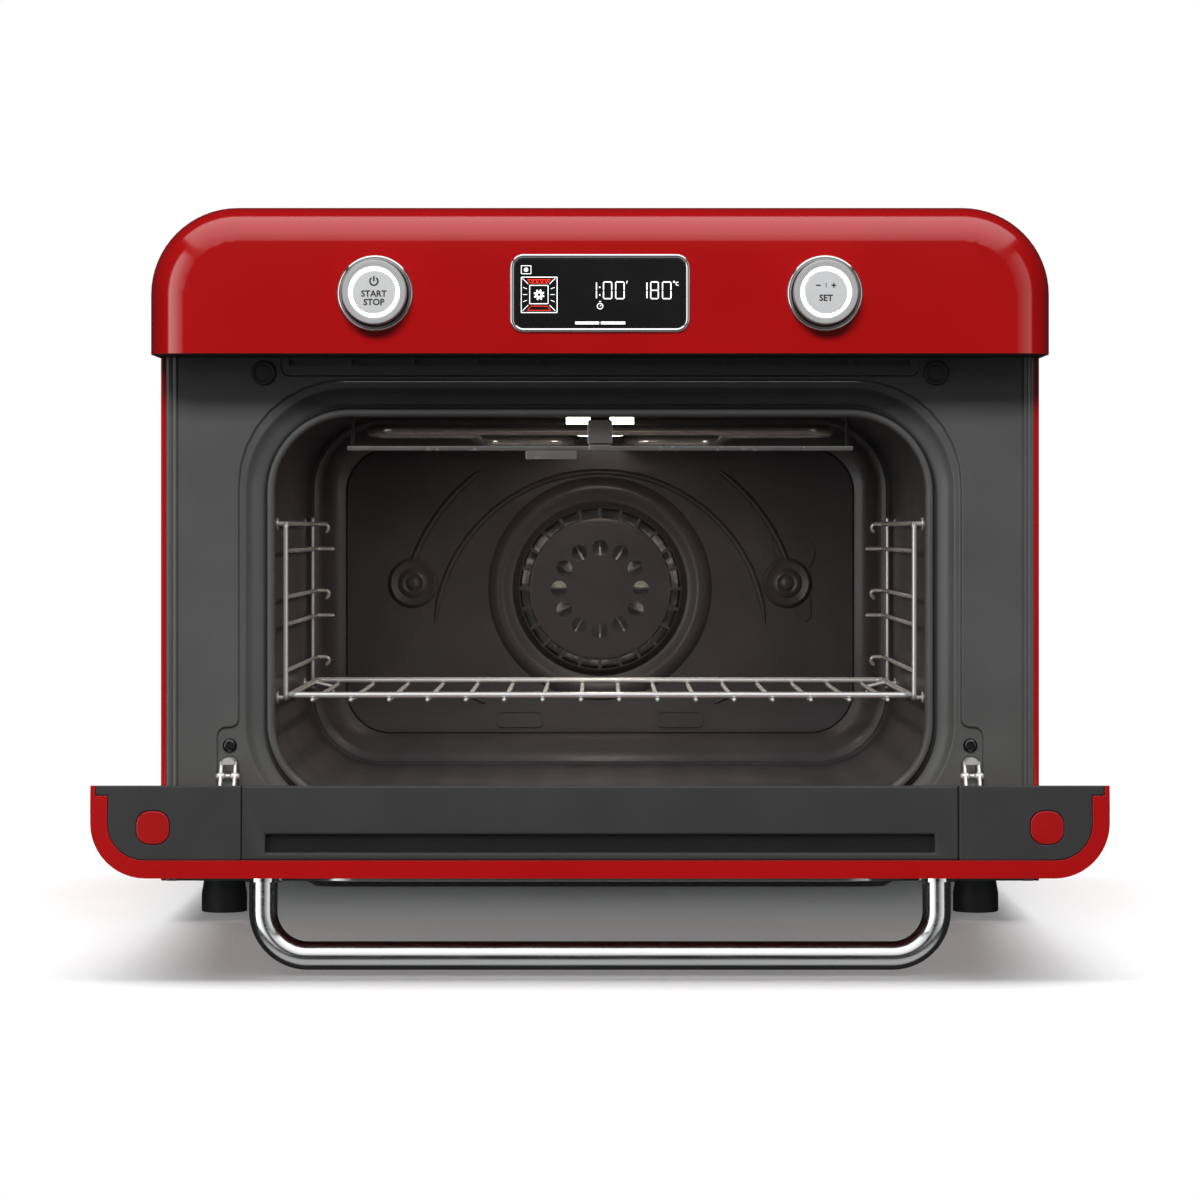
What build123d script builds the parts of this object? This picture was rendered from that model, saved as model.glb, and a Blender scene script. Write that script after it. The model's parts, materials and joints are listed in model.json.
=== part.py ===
from build123d import *
import math
import os

# Countertop steam oven, in millimetres, with the drop-down door open.
# The model is laid out with x = 0 on the centre line, y = 0 on the front frame's face
# with +y towards the rear, and z = 0 on the worktop.
# The last step moves everything so that the origin is under the middle of the whole oven.

# Overall sizes
total_height = 396.0
hood_width = 495.0
hood_overhang = 2.25
body_depth = 395.0
sheet = 1.2
touch_gap = 0.3
fit_gap = 0.1
shaft_gap = 0.05

# Feet
foot_height = 22.5
foot_radius = 13.0
foot_top_radius = 11.0
foot_inset_x = 30.0
foot_inset_front = 60.0
foot_inset_rear = 30.0
foot_screw_radius = 2.0
foot_screw_head = 4.0
foot_seat = 5.0
foot_screw_head_height = 2.5
foot_nut_height = 3.0
foot_straight_share = 0.45

# Hood, the red top shell that carries the controls
hood_height = 81.0
hood_front_reach = 48.0
hood_wall = 2.0
hood_top_corner = 48.0
hood_front_round = 20.0
hood_rear_round = 10.0
hood_flange = 12.0

# Side panels and rear panel
panel_lip = 3.0
panel_lip_depth = 6.0
vent_slot_width = 36.0
vent_slot_height = 3.0
vent_slot_pitch = 9.0
vent_slot_gap = 10.0
rear_vent_rows = 8
rear_vent_drop = 95.0
base_vent_rows = 10
base_vent_start = 140.0

# Front frame
frame_sheet = 1.5
rim_width = 6.5
rim_rise = 0.8
bead_from_side = 44.8
bead_from_hood = 12.0
bead_width = 2.0
bead_rise = 1.0
bead_corner = 60.0
opening_from_side = 65.7
opening_bottom = 68.7
opening_from_hood = 33.6
opening_corner = 42.0
air_slot_from_hood = 4.5
air_slot_height = 3.6
air_slot_from_side = 72.3
air_slot_count = 10
air_slot_divider = 2.4

# Oven cavity
cavity_past_opening = 2.2
cavity_bottom = 68.0
cavity_above_opening = 7.6
cavity_from_rear = 85.0
cavity_back_round = 25.0
ridge_from_back = 19.0
ridge_width = 5.0
ridge_rise = 7.0

# Door seal and door bumpers
seal_offset = 2.0
seal_width = 5.0
seal_rise = 2.6
bumper_radius = 7.0
bumper_from_side = 59.7
bumper_from_hood = 9.0
bumper_stem = 2.5
bumper_stem_length = 4.0

# Door, described closed and then turned about its hinge
door_angle = 86.0
hinge_y = -33.0
hinge_z = 46.0
door_top_gap = 3.0
door_bottom_drop = 25.6
door_front_gap = 3.0
door_wall = 2.0
door_corner = 27.0
door_swing_radius = 31.4
door_lip = 3.0
cap_depth = 36.3
cap_side_rim = 8.3
cap_height = 12.0
cap_corner = 18.0
cap_ear_depth = 5.0
cap_ear_rim = 2.4
cap_split_from_side = 73.5
cap_slot_from_side = 85.2
cap_slot_near = 23.8
cap_slot_far = 32.5
cap_slot_depth = 4.0
plug_from_side = 30.5
plug_from_inner_face = 20.4
plug_size = 16.0
plug_corner = 6.5
plug_rise = 0.3
plug_depth = 3.0
inner_panel_sheet = 1.5

# Door window
window_from_side = 97.5
window_bottom = 78.0
window_from_top = 50.0
window_corner = 28.0
window_rise = 5.0
window_bevel = 7.0
window_bevel_rise = 4.0
window_seat = 6.0
trim_width = 3.5
trim_rise = 2.2
pane_thickness = 4.0
pane_margin = 10.0
pane_corner = 12.0
inner_pane_inset = 2.0
middle_pane_inset = 18.0
spacer_width = 10.0

# Door handle
handle_radius = 7.0
handle_post_from_side = 82.3
handle_drop = 25.0
handle_reach = 38.0
handle_bend = 22.0
collar_radius = 9.0
collar_height = 2.0
handle_screw_radius = 2.5
handle_screw_length = 10.0
handle_screw_head = 5.0
handle_screw_head_height = 3.0

# Door hinges
arm_from_side = 40.6
arm_width = 9.0
arm_plate = 1.5
arm_eye = 7.0
arm_top = 91.0
arm_foot = 74.0
arm_tail = 30.0
arm_neck = 5.3
arm_shoulder = 7.0
arm_heel = 3.0
arm_lower_front = -12.0
arm_slot_gap = 1.5
arm_slot_drop = 6.0
door_slot_gap = 0.5
door_slot_top = 92.0
pin_radius = 3.0
pin_head_radius = 4.5
pin_head = 1.2
leaf_gap = 0.4
leaf_base_half_width = 13.0
leaf_base_low = 15.0
leaf_base_high = 50.0
leaf_base_sheet = 1.5
arm_rivet_y = -9.0
arm_rivet_z = 83.0
arm_rivet_radius = 1.6
bracket_half_width = 12.0
bracket_low = 60.0
bracket_high = 110.0
hinge_screw_z = 98.0
hinge_screw_radius = 2.0
hinge_screw_head = 3.5
hinge_screw_head_height = 2.2
hinge_screw_reach = 4.0

# Controls
control_above_hood_bottom = 32.8
display_width = 98.4
display_height = 42.9
display_corner = 7.5
spigot_corner = 6.4
bezel_rim = 2.5
bezel_rise = 1.6
bezel_ledge = 2.6
bezel_spigot = 1.0
bezel_depth = 3.0
glass_inset = 0.3
display_glass_thickness = 2.1
dial_from_side = 124.6
dial_radius = 17.7
dial_bore = 14.2
dial_front = 13.0
dial_edge = 1.0
dial_sleeve_wall = 1.2
ring_radius = 20.85
ring_clearance = 0.4
ring_rise = 2.5
ring_spigot_wall = 1.3
encoder_tube_inner = 12.0
encoder_plate_y = -40.0
encoder_plate = 3.0
encoder_wall = 2.4
light_ring_outer = 13.9
light_ring_inner = 11.8
light_ring_seat = 8.0
light_ring_front = 12.7
button_radius = 11.5
button_thickness = 2.6
button_front = 12.9
button_stem = 3.0
button_stem_end = 12.5
board_gap = 8.0
module_gap = 1.0
board_sheet = 1.6
board_half_width = 72.0
board_half_height = 23.0
board_post_radius = 3.0
board_post_inset = 5.0

# Side racks and wire shelf
rack_from_wall = 6.7
rack_wire = 1.3
rack_front = 25.0
rack_from_back = 42.0
rack_lowest = 123.2
rack_pitch = 41.6
rack_pair_gap = 15.5
rack_pair_count = 3
rack_overrun = 6.0
rack_hook_length = 10.0
rack_pin_inset = 10.0
rack_weld = 0.3
shelf_from_rack = 2.3
shelf_wire = 1.75
shelf_front = 20.0
shelf_from_rack_rear = 21.0
shelf_corner = 14.0
shelf_bar = 1.3
shelf_bar_count = 16
shelf_bar_margin = 13.0
shelf_weld = 0.25

# Grill, lamp and bottom heater
heater_radius = 3.3
grill_drop = 17.0
grill_from_wall = 52.0
grill_front = 70.0
grill_from_back = 60.0
grill_front_step = 34.0
grill_rear_step = 24.0
grill_tail = 12.0
grill_gap = 34.0
grill_bend = 14.4
plate_from_wall = 40.0
plate_bar_drop = 25.4
plate_hook_inset = 3.0
plate_hook_half_width = 1.5
plate_hook_from_edge = 2.0
plate_thick = 2.0
plate_front = 44.0
plate_depth = 10.0
clip_half_width = 7.0
clip_depth = 14.0
clip_wall = 1.5
lamp_y = 115.0
lamp_radius = 20.0
lamp_drop = 5.0
lamp_edge = 2.5
lamp_holder_radius = 23.0
lamp_holder_height = 10.5
bottom_heater_from_wall = 44.0
bottom_heater_front = 50.0
bottom_heater_rear_inset = 80.0
bottom_heater_gap = 60.0
bottom_heater_bend = 20.0
bottom_heater_tail = 70.0

# Convection fan behind the cavity
fan_above_middle = 5.95
fan_opening = 62.0
fan_wheel_radius = 50.0
fan_wheel_depth = 15.0
fan_blade_count = 12
fan_blade = 1.2
fan_hub = 9.0
fan_front_gap = 7.0
fan_nut_reach = 2.0
fan_shaft_radius = 3.0
housing_radius = 78.0
housing_depth = 33.0
ring_heater_radius = 64.0
ring_heater_opening = 30.0
heater_elbow_swell = 0.4
motor_half_size = 28.0
motor_depth = 36.0
motor_gap = 4.0
motor_boss_radius = 12.0
motor_foot_width = 8.0
motor_foot_half_height = 6.0
heater_leg_reach = 14.0
cover_flange = 6.0
cover_face_radius = 52.5
cover_dish = 4.0
cover_sheet = 1.0
cover_slots = 24
cover_slot_inner = 45.0
cover_slot_outer = 50.5
cover_slot_width = 3.2
cover_hole_ring = 26.0
cover_hole_radius = 5.0
cover_hole_count = 12
cover_screw_ring = 65.0
cover_screw_radius = 3.0
cover_screw_rise = 1.8
cover_screw_count = 4

# Cooling blower and its air duct above the cavity
duct_from_hood = 14.0
duct_from_side = 47.5
duct_wall_gap = 1.0
blower_x = -70.0
blower_from_rear = 155.0
blower_mouth_reach = 14.0
rotor_gap = 2.0
rotor_floor = 1.5
rotor_rim = 2.0
rotor_hub_height = 8.0
blower_radius = 60.0
blower_height = 38.0
blower_wall = 1.5
blower_mouth = 44.0
blower_inlet = 34.0
rotor_radius = 48.0
rotor_ring = 8.0
rotor_blade_count = 24
rotor_blade = 1.0
blower_motor_radius = 24.0
blower_motor_height = 24.0
blower_arm = 6.0

# Water tank, its bay, the pump, the boiler and their pipes
tank_from_side = 102.5
tank_from_rear = 57.0
tank_width = 84.0
tank_length = 74.0
tank_wall = 2.0
tank_corner = 6.0
tank_lid = 3.0
tank_lid_margin = 3.0
tank_grip_width = 34.0
tank_grip_length = 14.0
tank_grip_depth = 2.0
tank_gap = 0.8
bay_above_hood_bottom = 5.0
bay_wall = 1.5
bay_nipple = 5.0
bay_nipple_length = 10.0
pump_size = 44.0
pump_height = 52.0
pump_from_hood = 30.0
pump_plate_margin = 8.0
pump_plate_rise = 4.0
boiler_radius = 20.0
boiler_below_pump = 43.0
boiler_height = 74.0
boiler_carrier_half_width = 14.0
boiler_carrier_inset = 10.0
hose_radius = 4.0
hose_bore = 2.5
carrier_thickness = 3.0
steam_pipe_beside_tank = 17.0
steam_pipe_before_tank = 2.0
steam_pipe_radius = 3.5
steam_pipe_rise = 30.0
steam_pipe_reach = 5.0
steam_pipe_bend = 14.0

# Insulation, power board and mains inlet
blanket = 13.0
roof_blanket = 10.0
blanket_margin = 12.0
power_board_z = 190.0
power_board_from_rear = 145.0
power_board_length = 100.0
power_board_height = 110.0
power_board_standoff = 9.0
power_board_sheet = 1.6
power_post_inset = 6.0
power_post_radius = 3.0
relay_size = 18.0
relay_count = 3
relay_inset = 14.0
relay_gap = 8.0
gland_from_side = 67.5
gland_z = 46.0
gland_bore = 3.7
gland_radius = 8.0
gland_flange = 11.0
gland_flange_rise = 2.0
gland_length = 16.0
cutout_x = -60.0
cutout_y = 60.0
cutout_radius = 8.0
cutout_height = 8.0
cutout_flange_half = 14.0
cutout_flange_half_depth = 3.0
cutout_flange_sheet = 1.0
blanket_cut_gap = 2.0
rear_screw_inset = 6.0
rear_screw_head = 3.5
rear_screw_rise = 1.6
rear_screw_shank = 1.8
rear_screw_length = 7.0

# Worked-out places
hood_half = hood_width / 2
hood_bottom = total_height - hood_height
body_half = hood_half - hood_overhang
bead_half_width = hood_half - bead_from_side
bead_top = hood_bottom - bead_from_hood
opening_half_width = hood_half - opening_from_side
opening_top = hood_bottom - opening_from_hood
air_slot_bottom = hood_bottom - air_slot_from_hood
air_slot_half_width = hood_half - air_slot_from_side
cavity_half_width = opening_half_width + cavity_past_opening
cavity_top = opening_top + cavity_above_opening
cavity_depth = body_depth - cavity_from_rear
ridge_depth = cavity_depth - ridge_from_back
bumper_x = hood_half - bumper_from_side
bumper_z = hood_bottom - bumper_from_hood
cap_split = hood_half - cap_split_from_side
cap_slot_half = hood_half - cap_slot_from_side
plug_x = hood_half - plug_from_side
window_half_width = hood_half - window_from_side
handle_post_x = hood_half - handle_post_from_side
arm_x = hood_half - arm_from_side
control_z = hood_bottom + control_above_hood_bottom
dial_x = hood_half - dial_from_side
rack_x = cavity_half_width - rack_from_wall
rack_rear = cavity_depth - rack_from_back
shelf_half_width = rack_x - shelf_from_rack
shelf_rear = rack_rear - shelf_from_rack_rear
grill_half_width = cavity_half_width - grill_from_wall
grill_rear = cavity_depth - grill_from_back
plate_half_width = cavity_half_width - plate_from_wall
plate_bar_low = cavity_top - plate_bar_drop
bottom_heater_half_width = cavity_half_width - bottom_heater_from_wall
bottom_heater_rear = cavity_depth - bottom_heater_rear_inset
fan_z = (opening_bottom + opening_top) / 2 + fan_above_middle
duct_z = hood_bottom - duct_from_hood
duct_half_width = hood_half - duct_from_side
blower_y = body_depth - blower_from_rear
tank_x = hood_half - tank_from_side
tank_y = body_depth - tank_from_rear
bay_floor = hood_bottom + bay_above_hood_bottom
pump_top = hood_bottom - pump_from_hood
boiler_top = pump_top - pump_height - boiler_below_pump
steam_pipe_x = tank_x - steam_pipe_beside_tank
steam_pipe_y = tank_y - steam_pipe_before_tank
power_board_y = body_depth - power_board_from_rear
gland_x = gland_from_side - hood_half
panel_inner = body_half - sheet
frame_half = body_half - panel_lip
base_z = foot_height
rear_inner = body_depth - sheet
hood_front = -hood_front_reach
hood_inner_front = hood_front + hood_wall
door_outer_y = hood_front
door_inner_y = -door_front_gap
door_top = hood_bottom - door_top_gap
window_top = door_top - window_from_top
door_bottom = hinge_z - door_bottom_drop
door_half = hood_half
cap_bottom = door_top - cap_height
cap_front_y = door_inner_y - cap_depth
panel_back_y = door_inner_y - inner_panel_sheet
skin_inner_y = door_outer_y + door_wall
liner_back = cavity_depth + sheet
housing_back = liner_back + housing_depth
handle_z = door_top - handle_drop
shelf_reach = rack_wire + shelf_wire + touch_gap
shelf_side = rack_x - shelf_half_width
shelf_z = rack_lowest + math.sqrt(shelf_reach ** 2 - shelf_side ** 2)


def rack_levels():
    """Heights of the rack's rungs, from the lowest up."""
    levels = []
    for index in range(rack_pair_count):
        low = rack_lowest + index * rack_pitch
        levels += [low, low + rack_pair_gap]
    return levels


def block(x0, x1, y0, y1, z0, z1):
    """A plain block between its low and high corners."""
    middle = Pos((x0 + x1) / 2, (y0 + y1) / 2, (z0 + z1) / 2)
    return middle * Box(x1 - x0, y1 - y0, z1 - z0)


def rod_x(x0, x1, y, z, radius):
    """A round rod along x."""
    return Pos((x0 + x1) / 2, y, z) * Rot(0, 90, 0) * Cylinder(radius, x1 - x0)


def rod_y(x, y0, y1, z, radius):
    """A round rod along y."""
    return Pos(x, (y0 + y1) / 2, z) * Rot(90, 0, 0) * Cylinder(radius, y1 - y0)


def rod_z(x, y, z0, z1, radius):
    """A round rod along z."""
    return Pos(x, y, (z0 + z1) / 2) * Cylinder(radius, z1 - z0)


def tube_y(x, y0, y1, z, outer, inner):
    """A round tube along y."""
    return rod_y(x, y0, y1, z, outer) - rod_y(x, y0, y1, z, inner)


def plate_y(half_width, z0, z1, corner, y0, y1, x=0.0):
    """A plate facing along y with rounded corners in the front view."""
    outline = Pos(x, (z0 + z1) / 2) * RectangleRounded(2 * half_width, z1 - z0, corner)
    return extrude(Plane.XZ.offset(-y1) * outline, amount=y1 - y0)


def plate_z(x, y, width, length, corner, z0, z1):
    """A plate facing along z with rounded corners in the top view."""
    outline = Pos(x, y) * RectangleRounded(width, length, corner)
    return extrude(Plane.XY.offset(z0) * outline, amount=z1 - z0)


def profile_x(points, x0, x1):
    """A side-view outline of (y, z) points, given a width along x."""
    return extrude(Plane.YZ.offset(x0) * Polygon(*points, align=None), amount=x1 - x0, dir=(1, 0, 0))


def bent_rod(points, radius, bend):
    """A round rod along straight runs joined by bends of one radius."""
    path = FilletPolyline(*points, radius=bend)
    section = Plane(origin=path @ 0, z_dir=path % 0) * Circle(radius)
    return sweep(section, path=path)


def both_sides(shape):
    """A piece and its mirror image across the centre line."""
    return [shape, mirror(shape, about=Plane.YZ)]


def opened(shape):
    """Turn a door piece from closed to its open rest place."""
    return shape.rotate(Axis((0, hinge_y, hinge_z), (1, 0, 0)), door_angle)


def hood():
    """Red top shell with rounded edges, hollow below, with holes for the controls and the tank."""
    shell = hood_block(0.0) - hood_block(hood_wall)
    for side in (-1, 1):
        inner, outer = sorted((side * (hood_half - hood_wall / 2), side * (hood_half - hood_flange)))
        shell += block(inner, outer, frame_sheet, rear_inner, hood_bottom, hood_bottom + sheet)
    shell += block(-hood_half + hood_flange, hood_half - hood_flange, rear_inner - hood_flange,
                   body_depth - hood_wall / 2, hood_bottom, hood_bottom + sheet)
    spigot_half = display_width / 2 - bezel_rim + bezel_spigot + fit_gap
    spigot_rise = display_height / 2 - bezel_rim + bezel_spigot + fit_gap
    shell -= plate_y(spigot_half, control_z - spigot_rise, control_z + spigot_rise,
                     spigot_corner + fit_gap, hood_front - 1, hood_inner_front + 1)
    for side in (-1, 1):
        shell -= rod_y(side * dial_x, hood_front - 1, hood_inner_front + 1, control_z,
                       ring_hole_radius())
    shell -= plate_z(tank_x, tank_y, tank_width + 2 * (tank_lid_margin + tank_gap),
                     tank_length + 2 * (tank_lid_margin + tank_gap), tank_corner + tank_lid_margin,
                     total_height - hood_wall - 1, total_height + 1)
    return shell


def hood_block(inset):
    """The hood's solid outline, drawn in by an inset on its top, sides and ends."""
    half = hood_half - inset
    top = total_height - inset
    low = hood_bottom - (1.0 if inset else 0.0)
    front = hood_front + inset
    rear = body_depth - inset
    solid = block(-half, half, front, rear, low, top)
    corners = [e for e in solid.edges().filter_by(Axis.Y) if e.center().Z > top - 1]
    solid = fillet(corners, hood_top_corner - inset)
    front_edges = [e for e in solid.edges() if abs(e.center().Y - front) < 0.01 and e.center().Z > low + 0.1]
    solid = fillet(front_edges, hood_front_round - inset)
    rear_edges = [e for e in solid.edges() if abs(e.center().Y - rear) < 0.01 and e.center().Z > low + 0.1]
    return fillet(rear_edges, hood_rear_round - inset)


def ring_hole_radius():
    """Radius of the hood's hole that a knob ring's spigot fits."""
    return dial_radius + ring_clearance + ring_spigot_wall + fit_gap


def hood_floor():
    """Dark panel that closes the underside of the hood in front of the frame."""
    half = hood_half - hood_wall - touch_gap
    corner = hood_front_round - hood_wall - touch_gap
    front = hood_inner_front + touch_gap
    return door_section(half, front, -touch_gap, corner, hood_bottom, hood_bottom + sheet)


def side_panel():
    """Right-hand red side panel with its rolled front lip."""
    skin = block(panel_inner, body_half, 0, rear_inner, base_z, hood_bottom)
    return skin + block(frame_half, body_half, 0, panel_lip_depth, base_z, hood_bottom)


def rear_panel():
    """Flat rear panel with vent slots, the inlet hole and its screw holes."""
    panel = block(-body_half, body_half, rear_inner, body_depth, base_z, hood_bottom)
    slots = []
    for row in range(rear_vent_rows):
        for column in range(-2, 3):
            z = hood_bottom - rear_vent_drop + row * vent_slot_pitch
            x = column * (vent_slot_width + vent_slot_gap)
            slots.append(plate_y(vent_slot_width / 2, z, z + vent_slot_height, vent_slot_height / 2 - 0.01,
                                 rear_inner - 1, body_depth + 1, x))
    panel -= slots
    panel -= rod_y(gland_x, rear_inner - 1, body_depth + 1, gland_z, gland_radius)
    for x, z in rear_screw_places():
        panel -= rod_y(x, rear_inner - 1, body_depth + 1, z, rear_screw_shank)
    return panel


def rear_screw_places():
    """Places of the screws round the rear panel's edge, as (x, z)."""
    edge = body_half - rear_screw_inset
    low = base_z + rear_screw_inset
    high = hood_bottom - rear_screw_inset
    return [(-edge, low), (edge, low), (-edge, high), (edge, high), (0, low), (0, high)]


def rear_screws():
    """Pan-head screws of the rear panel."""
    screws = []
    for x, z in rear_screw_places():
        shank = rod_y(x, body_depth - rear_screw_length, body_depth, z, rear_screw_shank)
        screws.append(shank + rod_y(x, body_depth, body_depth + rear_screw_rise, z, rear_screw_head))
    return screws


def foot_places():
    """Centres of the four feet, as (x, y)."""
    x = body_half - foot_inset_x
    return [(-x, foot_inset_front), (x, foot_inset_front),
            (-x, body_depth - foot_inset_rear), (x, body_depth - foot_inset_rear)]


def base_pan():
    """Folded sheet floor of the case with upturned sides and the foot screw holes."""
    pan = block(-panel_inner, panel_inner, panel_lip_depth, rear_inner, base_z, base_z + sheet)
    for side in (-1, 1):
        low, high = sorted((side * panel_inner, side * (panel_inner - sheet)))
        pan += block(low, high, panel_lip_depth, rear_inner, base_z, base_z + hood_flange)
    slots = []
    for row in range(base_vent_rows):
        y = base_vent_start + row * vent_slot_pitch
        slots.append(plate_z(0, y, vent_slot_width * 2, vent_slot_height, vent_slot_height / 2 - 0.01,
                             base_z - 1, base_z + sheet + 1))
    pan -= slots
    for x, y in foot_places():
        pan -= rod_z(x, y, base_z - 1, base_z + sheet + 1, foot_screw_radius)
    return pan


def feet():
    """Four moulded rubber feet, each with a pocket for its screw's head."""
    shapes = []
    for x, y in foot_places():
        straight = foot_height * foot_straight_share
        low = rod_z(x, y, 0, straight, foot_radius)
        cone_middle = (straight + foot_height) / 2
        cone = Pos(x, y, cone_middle) * Cone(foot_radius, foot_top_radius, foot_height - straight)
        pocket = rod_z(x, y, -1, foot_height - foot_seat, foot_screw_head + 1)
        hole = rod_z(x, y, 0, foot_height + 1, foot_screw_radius)
        shapes.append(low + cone - pocket - hole)
    return shapes


def foot_screws():
    """Screws that hold the feet to the base pan."""
    screws = []
    for x, y in foot_places():
        seat = foot_height - foot_seat
        nut_low = base_z + sheet
        shank = rod_z(x, y, seat, nut_low + foot_nut_height + 1, foot_screw_radius)
        head = rod_z(x, y, seat - foot_screw_head_height, seat, foot_screw_head)
        nut = rod_z(x, y, nut_low, nut_low + foot_nut_height, foot_screw_head)
        screws.append(shank + head + nut)
    return screws


def front_frame():
    """Grey enamelled front frame round the cavity mouth."""
    frame = block(-frame_half, frame_half, 0, frame_sheet, base_z, hood_bottom)
    frame += block(-frame_half, frame_half, frame_sheet, panel_lip_depth, base_z, base_z + sheet)
    for side in (-1, 1):
        low, high = sorted((side * frame_half, side * (frame_half - rim_width)))
        frame += block(low, high, -rim_rise, 0, base_z, hood_bottom - touch_gap)
    bead_bottom = opening_bottom - (bead_top - opening_top)
    bead = plate_y(bead_half_width, bead_bottom, bead_top, bead_corner, -bead_rise, 0)
    bead -= plate_y(bead_half_width - bead_width, bead_bottom + bead_width, bead_top - bead_width,
                    bead_corner - bead_width, -bead_rise - 1, 1)
    frame += bead
    frame -= plate_y(opening_half_width, opening_bottom, opening_top, opening_corner, -1, frame_sheet + 1)
    pitch = 2 * air_slot_half_width / air_slot_count
    for index in range(air_slot_count):
        x = -air_slot_half_width + (index + 0.5) * pitch
        half = (pitch - air_slot_divider) / 2
        frame -= block(x - half, x + half, -1, frame_sheet + 1, air_slot_bottom,
                       air_slot_bottom + air_slot_height)
    for side in (-1, 1):
        half = arm_width / 2 + arm_slot_gap
        frame -= block(side * arm_x - half, side * arm_x + half, -2, frame_sheet + 1,
                       arm_slot_low(), arm_top + arm_slot_gap)
        frame -= rod_y(side * arm_x, -2, frame_sheet + 1, hinge_screw_z, hinge_screw_radius)
        frame -= rod_y(side * bumper_x, -2, frame_sheet + 1, bumper_z, bumper_stem)
    return frame


def arm_slot_low():
    """Lower end of the frame's slot for a hinge arm."""
    return arm_foot - arm_slot_drop


def cavity_block(inset, front, back):
    """The cavity's rounded tub as a solid, grown outwards by a negative inset."""
    half = cavity_half_width - inset
    tub = plate_y(half, cavity_bottom + inset, cavity_top - inset, opening_corner - inset, front, back)
    edges = [e for e in tub.edges() if abs(e.center().Y - back) < 0.01]
    return fillet(edges, cavity_back_round - inset)


def cavity_liner():
    """Enamelled steel tub with its pressed ridge and the fan, lamp and nozzle openings."""
    tub = cavity_block(-sheet, frame_sheet, liner_back)
    tub -= cavity_block(0.0, frame_sheet - 1, cavity_depth)
    ridge_back = ridge_depth + ridge_width
    ridge = plate_y(cavity_half_width + sheet / 2, cavity_bottom - sheet / 2, cavity_top + sheet / 2,
                    opening_corner + sheet / 2, ridge_depth, ridge_back)
    ridge -= plate_y(cavity_half_width - ridge_rise, cavity_bottom + ridge_rise, cavity_top - ridge_rise,
                     opening_corner - ridge_rise, ridge_depth - 1, ridge_back + 1)
    tub += ridge
    tub -= rod_y(0, cavity_depth - 1, liner_back + 1, fan_z, fan_opening)
    tub -= rod_z(0, lamp_y, cavity_top - 1, cavity_top + sheet + 1, lamp_radius)
    for angle in cover_screw_angles():
        tub -= rod_y(cover_screw_ring * math.cos(angle), cavity_depth - 1, liner_back + 1,
                     fan_z + cover_screw_ring * math.sin(angle), cover_screw_radius / 2)
    for x in (-grill_gap / 2, grill_gap / 2):
        tub -= rod_y(x, cavity_depth - cavity_back_round, liner_back + 1, cavity_top - grill_drop,
                     heater_radius + fit_gap)
    return tub


def cover_screw_angles():
    """Angles of the fan cover's screws."""
    return [math.radians(45 + index * 360 / cover_screw_count) for index in range(cover_screw_count)]


def fan_cover():
    """Dished fan guard with a ring of radial slots and a ring of round holes."""
    front = cavity_depth - cover_sheet
    face = front - cover_dish
    flange_radius = cover_screw_ring + cover_flange
    cover = rod_y(0, front, cavity_depth, fan_z, flange_radius)
    cover += rod_y(0, face, front, fan_z, cover_face_radius)
    cover -= rod_y(0, face + cover_sheet, cavity_depth + 1, fan_z, cover_face_radius - cover_sheet)
    slot_middle = (cover_slot_inner + cover_slot_outer) / 2
    slot = block(-cover_slot_width / 2, cover_slot_width / 2, face - 1, face + cover_sheet + 1,
                 slot_middle - (cover_slot_outer - cover_slot_inner) / 2,
                 slot_middle + (cover_slot_outer - cover_slot_inner) / 2)
    slots = []
    for index in range(cover_slots):
        turn = index * 360 / cover_slots
        slots.append(Pos(0, 0, fan_z) * (Rot(0, turn, 0) * slot))
    cover -= slots
    holes = []
    for index in range(cover_hole_count):
        angle = math.radians(index * 360 / cover_hole_count)
        holes.append(rod_y(cover_hole_ring * math.cos(angle), face - 1, face + cover_sheet + 1,
                           fan_z + cover_hole_ring * math.sin(angle), cover_hole_radius))
    cover -= holes
    for angle in cover_screw_angles():
        cover -= rod_y(cover_screw_ring * math.cos(angle), face - 1, cavity_depth + 1,
                       fan_z + cover_screw_ring * math.sin(angle), cover_screw_radius / 2)
    return cover


def cover_screws():
    """Screws of the fan guard."""
    screws = []
    for angle in cover_screw_angles():
        x = cover_screw_ring * math.cos(angle)
        z = fan_z + cover_screw_ring * math.sin(angle)
        head_back = cavity_depth - cover_sheet
        head = rod_y(x, head_back - cover_screw_rise, head_back, z, cover_screw_radius)
        screws.append(head + rod_y(x, head_back, liner_back + 3, z, cover_screw_radius / 2))
    return screws


def fan_housing():
    """Round pan behind the cavity that holds the fan and the ring heater."""
    pan = rod_y(0, liner_back, housing_back, fan_z, housing_radius + sheet)
    pan -= rod_y(0, liner_back - 1, housing_back - sheet, fan_z, housing_radius)
    pan -= rod_y(0, liner_back, housing_back + 1, fan_z, fan_shaft_radius + 2)
    for x, z in ring_heater_ends():
        pan -= rod_y(x, housing_back - sheet - 1, housing_back + 1, z, heater_radius + fit_gap)
    entry = steam_pipe_entry()
    return pan - rod_x(entry - steam_pipe_reach, entry + 2 * steam_pipe_reach, steam_pipe_y,
                       boiler_top + steam_pipe_rise, steam_pipe_radius + fit_gap)


def steam_pipe_entry():
    """Place along x where the steam pipe meets the round wall of the fan housing."""
    height = boiler_top + steam_pipe_rise - fan_z
    return math.sqrt((housing_radius + sheet) ** 2 - height ** 2)


def ring_heater_ends():
    """Places where the ring heater's two legs pass the housing, as (x, z)."""
    half = math.radians(ring_heater_opening / 2)
    return [(-ring_heater_radius * math.sin(half), fan_z - ring_heater_radius * math.cos(half)),
            (ring_heater_radius * math.sin(half), fan_z - ring_heater_radius * math.cos(half))]


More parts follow.
